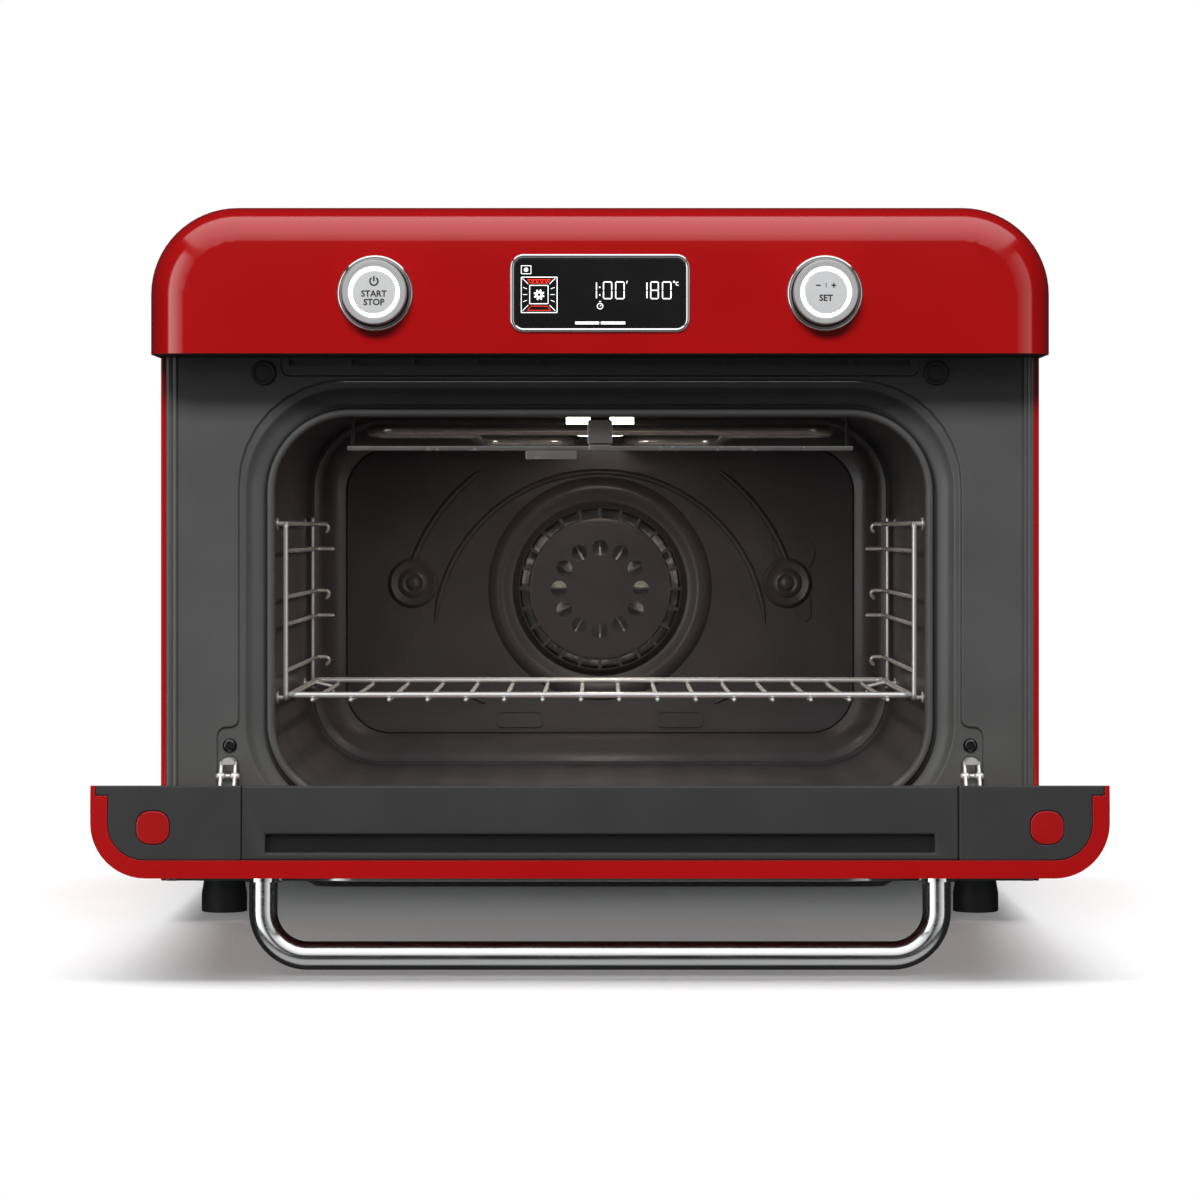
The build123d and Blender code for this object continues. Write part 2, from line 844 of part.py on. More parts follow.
def ring_heater():
    """Round heating element about the fan, with two legs to the rear."""
    y = liner_back + housing_depth / 2
    section = Plane.XY * Pos(ring_heater_radius, 0) * Circle(heater_radius)
    ring = revolve(section, Axis.Y, 360 - ring_heater_opening)
    ring = Pos(0, y, fan_z) * (Rot(0, 90 + ring_heater_opening / 2, 0) * ring)
    for x, z in ring_heater_ends():
        ring += Pos(x, y, z) * Sphere(heater_radius + heater_elbow_swell)
        ring += rod_y(x, y, housing_back + heater_leg_reach, z, heater_radius)
    return ring


def convection_fan():
    """Radial fan wheel with a back disc, a hub and straight blades."""
    front = liner_back + fan_front_gap
    back = front + fan_wheel_depth
    wheel = rod_y(0, back - fan_blade, back, fan_z, fan_wheel_radius)
    wheel += rod_y(0, front + fan_nut_reach, back, fan_z, fan_hub)
    half_blade = fan_blade / 2
    blade = block(fan_hub - 1, fan_wheel_radius - 1, front, back - half_blade, -half_blade, half_blade)
    for index in range(fan_blade_count):
        wheel += Pos(0, 0, fan_z) * (Rot(0, index * 360 / fan_blade_count, 0) * blade)
    return wheel - rod_y(0, front - 1, back + 1, fan_z, fan_shaft_radius)


def fan_shaft():
    """Shaft that carries the fan wheel, with its front nut."""
    front = liner_back + fan_front_gap
    shaft = rod_y(0, front, housing_back + motor_depth / 2, fan_z, fan_shaft_radius)
    return shaft + rod_y(0, front - fan_nut_reach, front + fan_nut_reach, fan_z, fan_shaft_radius + 2)


def fan_motor():
    """Motor on the fan housing, with its bearing bore and its rear bridge."""
    half = motor_half_size
    front = housing_back + motor_gap
    body = block(-half, half, front, housing_back + motor_depth, fan_z - half, fan_z + half)
    boss = rod_y(0, housing_back, front + 1, fan_z, motor_boss_radius)
    feet_on_housing = []
    for side in (-1, 1):
        x0, x1 = sorted((side * half, side * (half - motor_foot_width)))
        feet_on_housing.append(block(x0, x1, housing_back, front + 1, fan_z - motor_foot_half_height,
                                     fan_z + motor_foot_half_height))
    bore = rod_y(0, housing_back - 1, housing_back + motor_depth / 2 + 1, fan_z, fan_shaft_radius + shaft_gap)
    return body + boss + feet_on_housing[0] + feet_on_housing[1] - bore


def grill_element():
    """Upper heating element, a long loop bent from one tube below the ceiling."""
    z = cavity_top - grill_drop
    inner = grill_gap / 2
    outer = grill_half_width
    step = (outer - inner) / 2
    back = grill_rear - grill_rear_step
    front = grill_front + grill_front_step
    side = [(inner, liner_back + grill_tail, z), (inner, back, z), (inner + step, back, z),
            (inner + step, front, z), (outer, front, z), (outer, grill_front, z)]
    points = side + [(-x, y, zz) for x, y, zz in reversed(side)]
    return bent_rod(points, heater_radius, grill_bend)


def grill_plate():
    """Thin bright bar across the cavity that carries the front of the grill."""
    bar = block(-plate_half_width, plate_half_width, plate_front, plate_front + plate_depth,
                plate_bar_low, plate_bar_low + plate_thick)
    for side in (-1, 1):
        hook_x = side * (plate_half_width - plate_hook_inset)
        bar += block(hook_x - plate_hook_half_width, hook_x + plate_hook_half_width,
                     plate_front + plate_hook_from_edge, plate_front + plate_depth - plate_hook_from_edge,
                     plate_bar_low + plate_thick / 2, cavity_top)
    return bar


def grill_clip():
    """Bright folded clip that hangs the front bar from the ceiling."""
    low = plate_bar_low + plate_thick
    clip = block(-clip_half_width, clip_half_width, plate_front, plate_front + clip_depth, low, cavity_top)
    clip -= block(-clip_half_width + clip_wall, clip_half_width - clip_wall, plate_front - 1 + 2 * clip_wall,
                  plate_front + clip_depth + 1, low + clip_wall, cavity_top - clip_wall)
    return clip


def lamp_lens():
    """Glass cover of the oven lamp, a shallow drum below the ceiling."""
    lens = rod_z(0, lamp_y, cavity_top - lamp_drop, cavity_top + sheet, lamp_radius - fit_gap)
    rim = [e for e in lens.edges() if e.center().Z < cavity_top - lamp_drop + 0.01]
    return fillet(rim, lamp_edge)


def lamp_holder():
    """Lamp housing on top of the cavity."""
    low = cavity_top + sheet
    return rod_z(0, lamp_y, low, low + lamp_holder_height, lamp_holder_radius)


def bottom_heater():
    """Lower heating element, a wide loop under the cavity floor."""
    z = cavity_bottom - sheet - heater_radius
    side = bottom_heater_half_width
    inner = bottom_heater_gap / 2
    end = bottom_heater_rear + bottom_heater_tail
    right = [(inner, end, z), (inner, bottom_heater_rear, z), (side, bottom_heater_rear, z),
             (side, bottom_heater_front, z)]
    points = right + [(-x, y, zz) for x, y, zz in reversed(right)]
    return bent_rod(points, heater_radius, bottom_heater_bend)


def thermal_cutout():
    """Round safety thermostat on the cavity's roof."""
    low = cavity_top + sheet
    can = rod_z(cutout_x, cutout_y, low, low + cutout_height, cutout_radius)
    return can + block(cutout_x - cutout_flange_half, cutout_x + cutout_flange_half,
                       cutout_y - cutout_flange_half_depth, cutout_y + cutout_flange_half_depth,
                       low, low + cutout_flange_sheet)


def side_rack():
    """Right-hand wire rack: two uprights, six rungs with inward rear hooks, and wall pins."""
    low = rack_levels()[0] - rack_overrun
    high = rack_levels()[-1] + rack_overrun
    upright_x = rack_x + 2 * rack_wire - rack_weld
    rack = rod_z(upright_x, rack_front, low, high, rack_wire)
    rack += rod_z(upright_x, rack_rear, low, high, rack_wire)
    for z in rack_levels():
        rack += rod_y(rack_x, rack_front - rack_overrun, rack_rear + rack_overrun, z, rack_wire)
        rack += Pos(rack_x, rack_rear + rack_overrun, z) * Sphere(rack_wire)
        rack += rod_x(rack_x - rack_hook_length, rack_x, rack_rear + rack_overrun, z, rack_wire)
    for y in (rack_front + rack_pin_inset, rack_rear - 2 * rack_pin_inset):
        for z in (rack_levels()[0], rack_levels()[-1]):
            rack += rod_x(rack_x, cavity_half_width, y, z, rack_wire)
    return rack


def shelf_frame_half(end):
    """One end of the shelf's frame wire, bent round two corners."""
    half = shelf_half_width
    middle = (shelf_front + shelf_rear) / 2
    points = [(half, middle, shelf_z), (half, end, shelf_z), (-half, end, shelf_z), (-half, middle, shelf_z)]
    return bent_rod(points, shelf_wire, shelf_corner)


def wire_shelf():
    """Chromed wire shelf: a frame wire, a cross brace and lengthwise bars welded below."""
    shelf = shelf_frame_half(shelf_front) + shelf_frame_half(shelf_rear)
    bar_z = shelf_z - shelf_wire - shelf_bar + shelf_weld
    pitch = 2 * (shelf_half_width - shelf_bar_margin) / (shelf_bar_count - 1)
    for index in range(shelf_bar_count):
        x = (index - (shelf_bar_count - 1) / 2) * pitch
        shelf += rod_y(x, shelf_front - shelf_wire / 2, shelf_rear + shelf_wire / 2, bar_z, shelf_bar)
    brace_half = shelf_half_width - shelf_wire / 2
    brace_y = (shelf_front + shelf_rear) / 2
    shelf += rod_x(-brace_half, brace_half, brace_y, shelf_z, shelf_bar)
    return shelf


def door_seal():
    """Soft seal on the frame round the cavity mouth."""
    inner = opening_half_width + seal_offset
    low = opening_bottom - seal_offset
    high = opening_top + seal_offset
    corner = opening_corner + seal_offset
    outer = inner + seal_width
    ring = plate_y(outer, low - seal_width, high + seal_width, corner + seal_width, -seal_rise, 0)
    return ring - plate_y(inner, low, high, corner, -seal_rise - 1, 1)


def door_bumpers():
    """Two rubber bumpers that the closed door rests on."""
    bumper = rod_y(bumper_x, -seal_rise, 0, bumper_z, bumper_radius)
    bumper += rod_y(bumper_x, 0, bumper_stem_length, bumper_z, bumper_stem)
    return both_sides(bumper)


def hinge_arm():
    """Right-hand hinge arm: a folded channel from the frame down to the door's pivot."""
    outline = [(hinge_y - arm_neck, hinge_z + arm_neck), (-arm_shoulder, arm_top), (arm_tail, arm_top),
               (arm_tail, arm_foot), (arm_heel, arm_foot), (hinge_y + arm_neck, hinge_z - arm_neck)]
    half = arm_width / 2
    solid = profile_x(outline, arm_x - half, arm_x + half)
    solid += rod_x(arm_x - half, arm_x + half, hinge_y, hinge_z, arm_eye)
    inside = half - arm_plate
    solid -= block(arm_x - inside, arm_x + inside, hood_front, arm_lower_front, 0, bracket_high)
    solid -= block(arm_x - inside, arm_x + inside, hood_front, arm_tail + 1, 0, arm_top - arm_plate)
    solid -= rod_x(arm_x - half - 1, arm_x + half + 1, hinge_y, hinge_z, pin_radius)
    solid += rod_x(arm_x - half, arm_x + half, arm_rivet_y, arm_rivet_z, arm_rivet_radius)
    bracket = block(arm_x - bracket_half_width, arm_x + bracket_half_width, frame_sheet,
                    frame_sheet + arm_plate, bracket_low, bracket_high)
    bracket -= block(arm_x - inside, arm_x + inside, 0, arm_tail, arm_foot, arm_top - arm_plate)
    bracket -= rod_y(arm_x, 0, arm_tail, hinge_screw_z, hinge_screw_radius)
    return solid + bracket


def hinge_pins():
    """Headed pins through the hinge arms and the door's hinge leaves."""
    half = arm_width / 2
    pin = rod_x(arm_x - half - pin_head, arm_x + half + pin_head, hinge_y, hinge_z, pin_radius)
    pin += rod_x(arm_x - half - pin_head, arm_x - half, hinge_y, hinge_z, pin_head_radius)
    pin += rod_x(arm_x + half, arm_x + half + pin_head, hinge_y, hinge_z, pin_head_radius)
    return both_sides(pin)


def hinge_screws():
    """Pan-head screws that hold the hinge arms' brackets behind the frame."""
    screw = rod_y(arm_x, -hinge_screw_head_height, 0, hinge_screw_z, hinge_screw_head)
    screw += rod_y(arm_x, 0, frame_sheet + arm_plate + hinge_screw_reach, hinge_screw_z, hinge_screw_radius)
    return both_sides(screw)


def hinge_leaf():
    """Right-hand leaf inside the door, from its base on the skin to the hinge pin."""
    inside = arm_width / 2 - arm_plate - leaf_gap
    base_front = skin_inner_y
    base = block(arm_x - leaf_base_half_width, arm_x + leaf_base_half_width, base_front,
                 base_front + leaf_base_sheet, hinge_z - leaf_base_low, hinge_z + leaf_base_high)
    outline = [(base_front, hinge_z - leaf_base_low), (hinge_y, hinge_z - arm_eye + 1),
               (hinge_y, hinge_z + arm_eye - 1), (base_front, hinge_z + leaf_base_high)]
    leaf = profile_x(outline, arm_x - inside, arm_x + inside)
    leaf += rod_x(arm_x - inside, arm_x + inside, hinge_y, hinge_z, arm_eye - 1)
    leaf += base
    return leaf - rod_x(arm_x - inside - 1, arm_x + inside + 1, hinge_y, hinge_z, pin_radius + shaft_gap)


def door_section(half, front, back, corner, low, high):
    """A door-shaped solid with rounded front corners in the top view."""
    slab = block(-half, half, front, back, low, high)
    edges = [e for e in slab.edges().filter_by(Axis.Z) if abs(e.center().Y - front) < 0.01]
    return fillet(edges, corner)


def door_side_profile(inset):
    """Side-view outline of the door with its chamfered bottom rear edge, as (y, z) points."""
    back = door_inner_y + (20 if inset else 0)
    low = door_bottom + inset
    reach = door_inner_y - hinge_y
    knee_z = hinge_z - math.sqrt(door_swing_radius ** 2 - reach ** 2)
    knee_y = hinge_y + math.sqrt(door_swing_radius ** 2 - door_bottom_drop ** 2)
    slope = (knee_z - door_bottom) / (door_inner_y - knee_y)
    shift = inset * math.sqrt(1 + slope ** 2)
    start_y = knee_y + (inset - shift) / slope if inset else knee_y
    end_z = knee_z + shift + slope * (back - door_inner_y)
    high = door_top - (door_lip if inset else 0)
    front = door_outer_y + inset
    return [(front, low), (start_y, low), (back, end_z), (back, high), (front, high)]


def door_skin():
    """Red enamelled door shell with its rim, the window hole and the hinge notches."""
    outer = door_section(door_half, door_outer_y, door_inner_y, door_corner, door_bottom, door_top)
    outer &= profile_x(door_side_profile(0.0), -door_half, door_half)
    pocket = door_section(door_half - door_wall, skin_inner_y, door_inner_y + 10, door_corner - door_wall,
                          door_bottom, door_top)
    pocket &= profile_x(door_side_profile(door_wall), -door_half, door_half)
    skin = outer - pocket
    skin -= cap_outline(0.0, door_top - door_lip - 1, door_top + 1)
    skin -= plate_y(window_half_width - window_seat, window_bottom + window_seat, window_top - window_seat,
                    window_corner - window_seat, door_outer_y - 1, skin_inner_y + 1)
    for side in (-1, 1):
        half = arm_width / 2 + door_slot_gap
        skin -= block(side * arm_x - half, side * arm_x + half, hinge_y, door_inner_y + 1,
                      door_bottom - 1, hinge_z)
        skin -= rod_y(side * handle_post_x, door_outer_y - 1, skin_inner_y + 1, handle_z, handle_screw_radius)
    return skin


def cap_outline(inset, low, high):
    """The end cap's outline, with its rear ears, drawn in by an inset."""
    half = door_half - cap_side_rim - inset
    body = door_section(half, cap_front_y + inset, door_inner_y, cap_corner - inset, low, high)
    ear_half = door_half - cap_ear_rim - inset
    return body + block(-ear_half, ear_half, door_inner_y - cap_ear_depth + inset, door_inner_y, low, high)


def door_cap():
    """Dark moulded end cap of the door, uncut."""
    cap = cap_outline(fit_gap, cap_bottom, door_top)
    cap -= block(-cap_slot_half, cap_slot_half, door_inner_y - cap_slot_far, door_inner_y - cap_slot_near,
                 door_top - cap_slot_depth, door_top + 1)
    for side in (-1, 1):
        cap -= plate_z(side * plug_x, door_inner_y - plug_from_inner_face, plug_size + 2 * fit_gap,
                       plug_size + 2 * fit_gap, plug_corner, door_top - plug_depth, door_top + 1)
    return cap


def door_cap_part(x0, x1):
    """The stretch of the end cap between two x values."""
    return door_cap() & block(x0, x1, door_outer_y, door_inner_y + 1, cap_bottom - 1, door_top + 1)


def door_plugs():
    """Red rounded plugs in the end cap."""
    plugs = []
    for side in (-1, 1):
        plugs.append(plate_z(side * plug_x, door_inner_y - plug_from_inner_face, plug_size, plug_size,
                             plug_corner - fit_gap, door_top - plug_depth, door_top + plug_rise))
    return plugs


def door_inner_panel():
    """Inner steel panel of the door with the window hole and the hinge slots."""
    knee_z = hinge_z - math.sqrt(door_swing_radius ** 2 - (door_inner_y - hinge_y) ** 2)
    half = door_half - door_wall - fit_gap
    panel = block(-half, half, panel_back_y, door_inner_y, knee_z + 2 * door_wall, cap_bottom)
    hole = window_half_width + pane_margin
    panel -= plate_y(hole, window_bottom + inner_pane_inset, window_top - inner_pane_inset, pane_corner,
                     panel_back_y - 1, door_inner_y + 1)
    slot = arm_width / 2 + door_slot_gap
    for side in (-1, 1):
        panel -= block(side * arm_x - slot, side * arm_x + slot, panel_back_y - 1, door_inner_y + 1,
                       door_bottom, door_slot_top)
    return panel


def inner_pane():
    """Inner glass pane, flush in the inner panel's hole."""
    half = window_half_width + pane_margin - touch_gap
    low = window_bottom + inner_pane_inset + touch_gap
    high = window_top - inner_pane_inset - touch_gap
    return plate_y(half, low, high, pane_corner - touch_gap, door_inner_y - pane_thickness, door_inner_y)


def middle_pane():
    """Middle glass pane between the two spacer frames."""
    back = door_inner_y - middle_pane_inset
    return plate_y(window_half_width + pane_margin, window_bottom, window_top, pane_corner,
                   back - pane_thickness, back)


def outer_window():
    """Proud outer window glass with bevelled edges."""
    half = window_half_width
    glass = plate_y(half, window_bottom, window_top, window_corner, door_outer_y - window_rise, door_outer_y)
    edges = [e for e in glass.edges() if abs(e.center().Y - door_outer_y + window_rise) < 0.01]
    return chamfer(edges, window_bevel_rise, window_bevel)


def window_trim():
    """Bright trim frame round the outer window."""
    ring = plate_y(window_half_width + trim_width + fit_gap, window_bottom - trim_width - fit_gap,
                   window_top + trim_width + fit_gap, window_corner + trim_width, door_outer_y - trim_rise,
                   door_outer_y)
    return ring - plate_y(window_half_width + fit_gap, window_bottom - fit_gap, window_top + fit_gap,
                          window_corner + fit_gap, door_outer_y - trim_rise - 1, door_outer_y + 1)


def pane_spacers():
    """Two frames that hold the panes apart."""
    half = window_half_width + pane_margin
    middle_back = door_inner_y - middle_pane_inset
    rear_frame = spacer_frame(half, middle_back, door_inner_y - pane_thickness)
    front_frame_ring = spacer_frame(half, skin_inner_y, middle_back - pane_thickness)
    return [rear_frame, front_frame_ring]


def spacer_frame(half, front, back):
    """One rectangular spacer frame between two depths."""
    inner = half - spacer_width
    ring = plate_y(half, window_bottom, window_top, pane_corner, front, back)
    return ring - plate_y(inner, window_bottom + spacer_width, window_top - spacer_width,
                          pane_corner / 2, front - 1, back + 1)


def door_handle():
    """Bent steel tube handle between its two posts."""
    y = door_outer_y - handle_reach
    root = door_outer_y - collar_height
    points = [(-handle_post_x, root, handle_z), (-handle_post_x, y, handle_z),
              (handle_post_x, y, handle_z), (handle_post_x, root, handle_z)]
    bar = bent_rod(points, handle_radius, handle_bend)
    for side in (-1, 1):
        bar -= rod_y(side * handle_post_x, root - handle_screw_length, root + 1, handle_z,
                     handle_screw_radius)
    return bar


def handle_collars():
    """Thin round collars between the handle and the door."""
    collar = tube_y(handle_post_x, door_outer_y - collar_height, door_outer_y, handle_z,
                    collar_radius, handle_screw_radius)
    return both_sides(collar)


def handle_screws():
    """Screws from inside the door into the handle's posts."""
    front = door_outer_y - collar_height - handle_screw_length
    screw = rod_y(handle_post_x, front, skin_inner_y, handle_z, handle_screw_radius)
    screw += rod_y(handle_post_x, skin_inner_y, skin_inner_y + handle_screw_head_height, handle_z,
                   handle_screw_head)
    return both_sides(screw)


def display_bezel():
    """Bright frame round the display, with a ledge for its glass."""
    half = display_width / 2
    rise = display_height / 2
    front = hood_front - bezel_rise
    flange = plate_y(half, control_z - rise, control_z + rise, display_corner, front, hood_front)
    spigot_half = half - bezel_rim + bezel_spigot
    spigot_rise = rise - bezel_rim + bezel_spigot
    flange += plate_y(spigot_half, control_z - spigot_rise, control_z + spigot_rise,
                      spigot_corner, hood_front, hood_front + bezel_depth)
    window = half - bezel_rim
    window_height = rise - bezel_rim
    flange -= plate_y(window, control_z - window_height, control_z + window_height,
                      display_corner - bezel_rim, front - 1, glass_back())
    hole = window - bezel_ledge
    hole_height = window_height - bezel_ledge
    corner = display_corner - bezel_rim - bezel_ledge
    return flange - plate_y(hole, control_z - hole_height, control_z + hole_height, corner, front - 1,
                            hood_front + bezel_depth + 1)


def glass_back():
    """Depth of the display glass's rear face."""
    return hood_front - bezel_rise + glass_inset + display_glass_thickness


def display_glass():
    """Dark display glass seated in its bezel."""
    half = display_width / 2 - bezel_rim - fit_gap
    rise = display_height / 2 - bezel_rim - fit_gap
    return plate_y(half, control_z - rise, control_z + rise, display_corner - bezel_rim - fit_gap,
                   glass_back() - display_glass_thickness, glass_back())


def control_board():
    """Control circuit board with the display module, hung on posts behind the fascia."""
    front = hood_inner_front + board_gap
    board = block(-board_half_width, board_half_width, front, front + board_sheet,
                  control_z - board_half_height, control_z + board_half_height)
    module_half = display_width / 2 - bezel_rim - bezel_ledge - module_gap
    module_rise = display_height / 2 - bezel_rim - bezel_ledge - module_gap
    board += block(-module_half, module_half, glass_back() + fit_gap, front,
                   control_z - module_rise, control_z + module_rise)
    for side_x in (-1, 1):
        for side_z in (-1, 1):
            x = side_x * (board_half_width - board_post_inset)
            z = control_z + side_z * (board_half_height - board_post_inset)
            board += rod_y(x, hood_inner_front, front, z, board_post_radius)
    return board


def knob_ring():
    """Right-hand bright ring in the hood round a knob."""
    inner = dial_radius + ring_clearance
    ring = tube_y(dial_x, hood_front - ring_rise, hood_front, control_z, ring_radius, inner)
    return ring + tube_y(dial_x, hood_front, hood_inner_front, control_z, inner + ring_spigot_wall, inner)


def encoder():
    """Right-hand rotary encoder with its hollow spindle and its cup behind the hood."""
    cup_outer = ring_hole_radius() + encoder_wall
    plate_back = encoder_plate_y + encoder_plate
    unit = rod_y(dial_x, encoder_plate_y, plate_back, control_z, cup_outer)
    unit += tube_y(dial_x, hood_inner_front, encoder_plate_y, control_z, cup_outer, ring_hole_radius())
    tube_front = light_ring_back()
    unit += tube_y(dial_x, tube_front, encoder_plate_y, control_z, dial_bore - shaft_gap, encoder_tube_inner)
    return unit - rod_y(dial_x, encoder_plate_y - 1, plate_back + 1, control_z, button_stem + shaft_gap)


def light_ring_back():
    """Depth where the light ring sits on the encoder's spindle."""
    return hood_front - light_ring_seat


def light_ring():
    """Right-hand white light ring between a knob's rim and its button."""
    front = hood_front - light_ring_front
    return tube_y(dial_x, front, light_ring_back(), control_z, light_ring_outer, light_ring_inner)


def dial():
    """Right-hand turning rim of a knob, on the encoder's spindle."""
    front = hood_front - dial_front
    back = hood_front + 1
    rim = tube_y(dial_x, front, back, control_z, dial_radius, dial_bore)
    front_edges = [e for e in rim.edges() if abs(e.center().Y - front) < 0.01]
    rim = fillet(max(front_edges, key=lambda e: e.length), dial_edge)
    return rim + tube_y(dial_x, back, encoder_plate_y - 1, control_z, dial_bore + dial_sleeve_wall, dial_bore)


def push_button():
    """Right-hand push button in the middle of a knob, with its stem."""
    front = hood_front - button_front
    back = front + button_thickness
    cap = rod_y(dial_x, front, back, control_z, button_radius)
    return cap + rod_y(dial_x, back, hood_front + button_stem_end, control_z, button_stem)


def air_duct():
    """Open channel above the cavity that carries cooling air to the front slots."""
    duct = block(-duct_half_width, duct_half_width, frame_sheet, rear_inner, duct_z, duct_z + sheet)
    for side in (-1, 1):
        low, high = sorted((side * duct_half_width, side * (duct_half_width - sheet)))
        duct += block(low, high, bumper_stem_length + 2, rear_inner, duct_z,
                      hood_bottom - duct_wall_gap)
    return duct - rod_z(tank_x, tank_y, duct_z - 1, duct_z + sheet + 1, hose_radius + 1)


def blower_low():
    """Underside of the cooling blower."""
    return duct_z + sheet


def blower_housing():
    """Round blower housing on the duct, open to the front and at its top inlet."""
    low = blower_low()
    high = low + blower_height
    drum = rod_z(blower_x, blower_y, low, high, blower_radius)
    mouth_front = blower_y - blower_radius - blower_mouth_reach
    drum += block(blower_x - blower_mouth, blower_x + blower_mouth, mouth_front, blower_y, low, high)
    inner = rod_z(blower_x, blower_y, low + blower_wall, high - blower_wall, blower_radius - blower_wall)
    inner += block(blower_x - blower_mouth + blower_wall, blower_x + blower_mouth - blower_wall,
                   mouth_front - 1, blower_y, low + blower_wall, high - blower_wall)
    drum -= inner
    drum -= rod_z(blower_x, blower_y, high - blower_wall - 1, high + 1, blower_inlet)
    bridge = block(blower_x - blower_inlet - 2, blower_x + blower_inlet + 2, blower_y - blower_arm,
                   blower_y + blower_arm, high - blower_wall, high)
    bridge -= rod_z(blower_x, blower_y, high - blower_wall - 1, high + 1, fan_shaft_radius + 1)
    return drum + bridge


def blower_motor():
    """Cooling blower motor on the housing's bridge."""
    low = blower_low() + blower_height
    motor = rod_z(blower_x, blower_y, low, low + blower_motor_height, blower_motor_radius)
    return motor - rod_z(blower_x, blower_y, low - 1, low + blower_motor_height / 2,
                         fan_shaft_radius + shaft_gap)


def cooling_fan():
    """Squirrel-cage rotor of the cooling blower with its shaft."""
    low = blower_low() + blower_wall + rotor_gap
    high = blower_low() + blower_height - blower_wall - rotor_gap
    rotor = rod_z(blower_x, blower_y, low, low + rotor_floor, rotor_radius)
    blade = block(rotor_radius - rotor_ring, rotor_radius - touch_gap, -rotor_blade / 2, rotor_blade / 2,
                  low + rotor_floor / 2, high - rotor_rim / 2)
    for index in range(rotor_blade_count):
        rotor += Pos(blower_x, blower_y, 0) * (Rot(0, 0, index * 360 / rotor_blade_count) * blade)
    rim = rod_z(blower_x, blower_y, high - rotor_rim, high, rotor_radius)
    rim -= rod_z(blower_x, blower_y, high - rotor_rim - 1, high + 1, rotor_radius - rotor_ring - touch_gap)
    rotor += rim
    shaft_top = blower_low() + blower_height + blower_motor_height / 2 - 1
    rotor += rod_z(blower_x, blower_y, low, shaft_top, fan_shaft_radius)
    return rotor + rod_z(blower_x, blower_y, low, low + rotor_hub_height, fan_hub)


def tank_bay():
    """Moulded bay that guides the water tank, hung below the hood's top."""
    gap = tank_gap
    inner_width = tank_width + 2 * gap
    inner_length = tank_length + 2 * gap
    top = total_height - hood_wall
    bay = plate_z(tank_x, tank_y, inner_width + 2 * bay_wall, inner_length + 2 * bay_wall,
                  tank_corner + gap + bay_wall, bay_floor - bay_wall, lid_seat() - fit_gap)
    bay -= plate_z(tank_x, tank_y, inner_width, inner_length, tank_corner + gap, bay_floor, top + 1)
    rim = tank_lid_margin + gap
    collar = plate_z(tank_x, tank_y, tank_width + 2 * (rim + bay_wall), tank_length + 2 * (rim + bay_wall),
                     tank_corner + rim + bay_wall, lid_seat() - bay_wall - fit_gap, top)
    collar -= plate_z(tank_x, tank_y, tank_width + 2 * rim, tank_length + 2 * rim, tank_corner + rim,
                      lid_seat() - fit_gap, top + 1)
    collar -= plate_z(tank_x, tank_y, inner_width, inner_length, tank_corner + gap, bay_floor, top + 1)
    bay += collar
    bay += rod_z(tank_x, tank_y, bay_floor - bay_wall - bay_nipple_length, bay_floor - bay_wall, bay_nipple)
    return bay - rod_z(tank_x, tank_y, bay_floor - bay_nipple_length - 5, bay_floor + 1, hose_bore)


def lid_seat():
    """Underside of the tank's lid."""
    return total_height - tank_lid


def water_tank():
    """Clear water tank, open at the top below its lid."""
    low = bay_floor + touch_gap
    high = lid_seat()
    tank = plate_z(tank_x, tank_y, tank_width, tank_length, tank_corner, low, high)
    return tank - plate_z(tank_x, tank_y, tank_width - 2 * tank_wall, tank_length - 2 * tank_wall,
                          tank_corner - tank_wall, low + tank_wall, high + 1)


def tank_lid_cover():
    """Tank lid, flush with the hood's top, with a finger recess."""
    margin = 2 * tank_lid_margin
    lid = plate_z(tank_x, tank_y, tank_width + margin, tank_length + margin, tank_corner + tank_lid_margin,
                  lid_seat(), total_height)
    return lid - plate_z(tank_x, tank_y, tank_grip_width, tank_grip_length, tank_grip_length / 2 - 0.1,
                         total_height - tank_grip_depth, total_height + 1)


def water_pump():
    """Water pump on a carrier plate on the rear panel."""
    half = pump_size / 2
    back = rear_inner - carrier_thickness
    pump = block(tank_x - half, tank_x + half, tank_y - half, back, pump_top - pump_height, pump_top)
    plate_half = half + pump_plate_margin
    plate = block(tank_x - plate_half, tank_x + plate_half, back, rear_inner,
                  pump_top - pump_height - pump_plate_rise, pump_top + pump_plate_rise)
    return pump + plate


def steam_boiler():
    """Small boiler that makes the steam, on a carrier block on the rear panel."""
    low = boiler_top - boiler_height
    can = rod_z(tank_x, tank_y, low, boiler_top, boiler_radius)
    half = boiler_carrier_half_width
    carrier = block(tank_x - half, tank_x + half, tank_y, rear_inner, low + boiler_carrier_inset,
                    boiler_top - boiler_carrier_inset)
    return can + carrier


def water_hoses():
    """Hose from the bay to the pump and hose from the pump to the boiler."""
    bay_end = bay_floor - bay_wall - bay_nipple_length
    bore = rod_z(tank_x, tank_y, 0, total_height, hose_bore)
    upper = rod_z(tank_x, tank_y, pump_top, bay_end, hose_radius)
    lower = rod_z(tank_x, tank_y, boiler_top, pump_top - pump_height, hose_radius)
    return [upper - bore, lower - bore]


def steam_pipe():
    """Metal steam pipe from the boiler into the fan housing."""
    turn_z = boiler_top + steam_pipe_rise
    points = [(steam_pipe_x, steam_pipe_y, boiler_top), (steam_pipe_x, steam_pipe_y, turn_z),
              (steam_pipe_entry() - steam_pipe_reach, steam_pipe_y, turn_z)]
    return bent_rod(points, steam_pipe_radius, steam_pipe_bend)


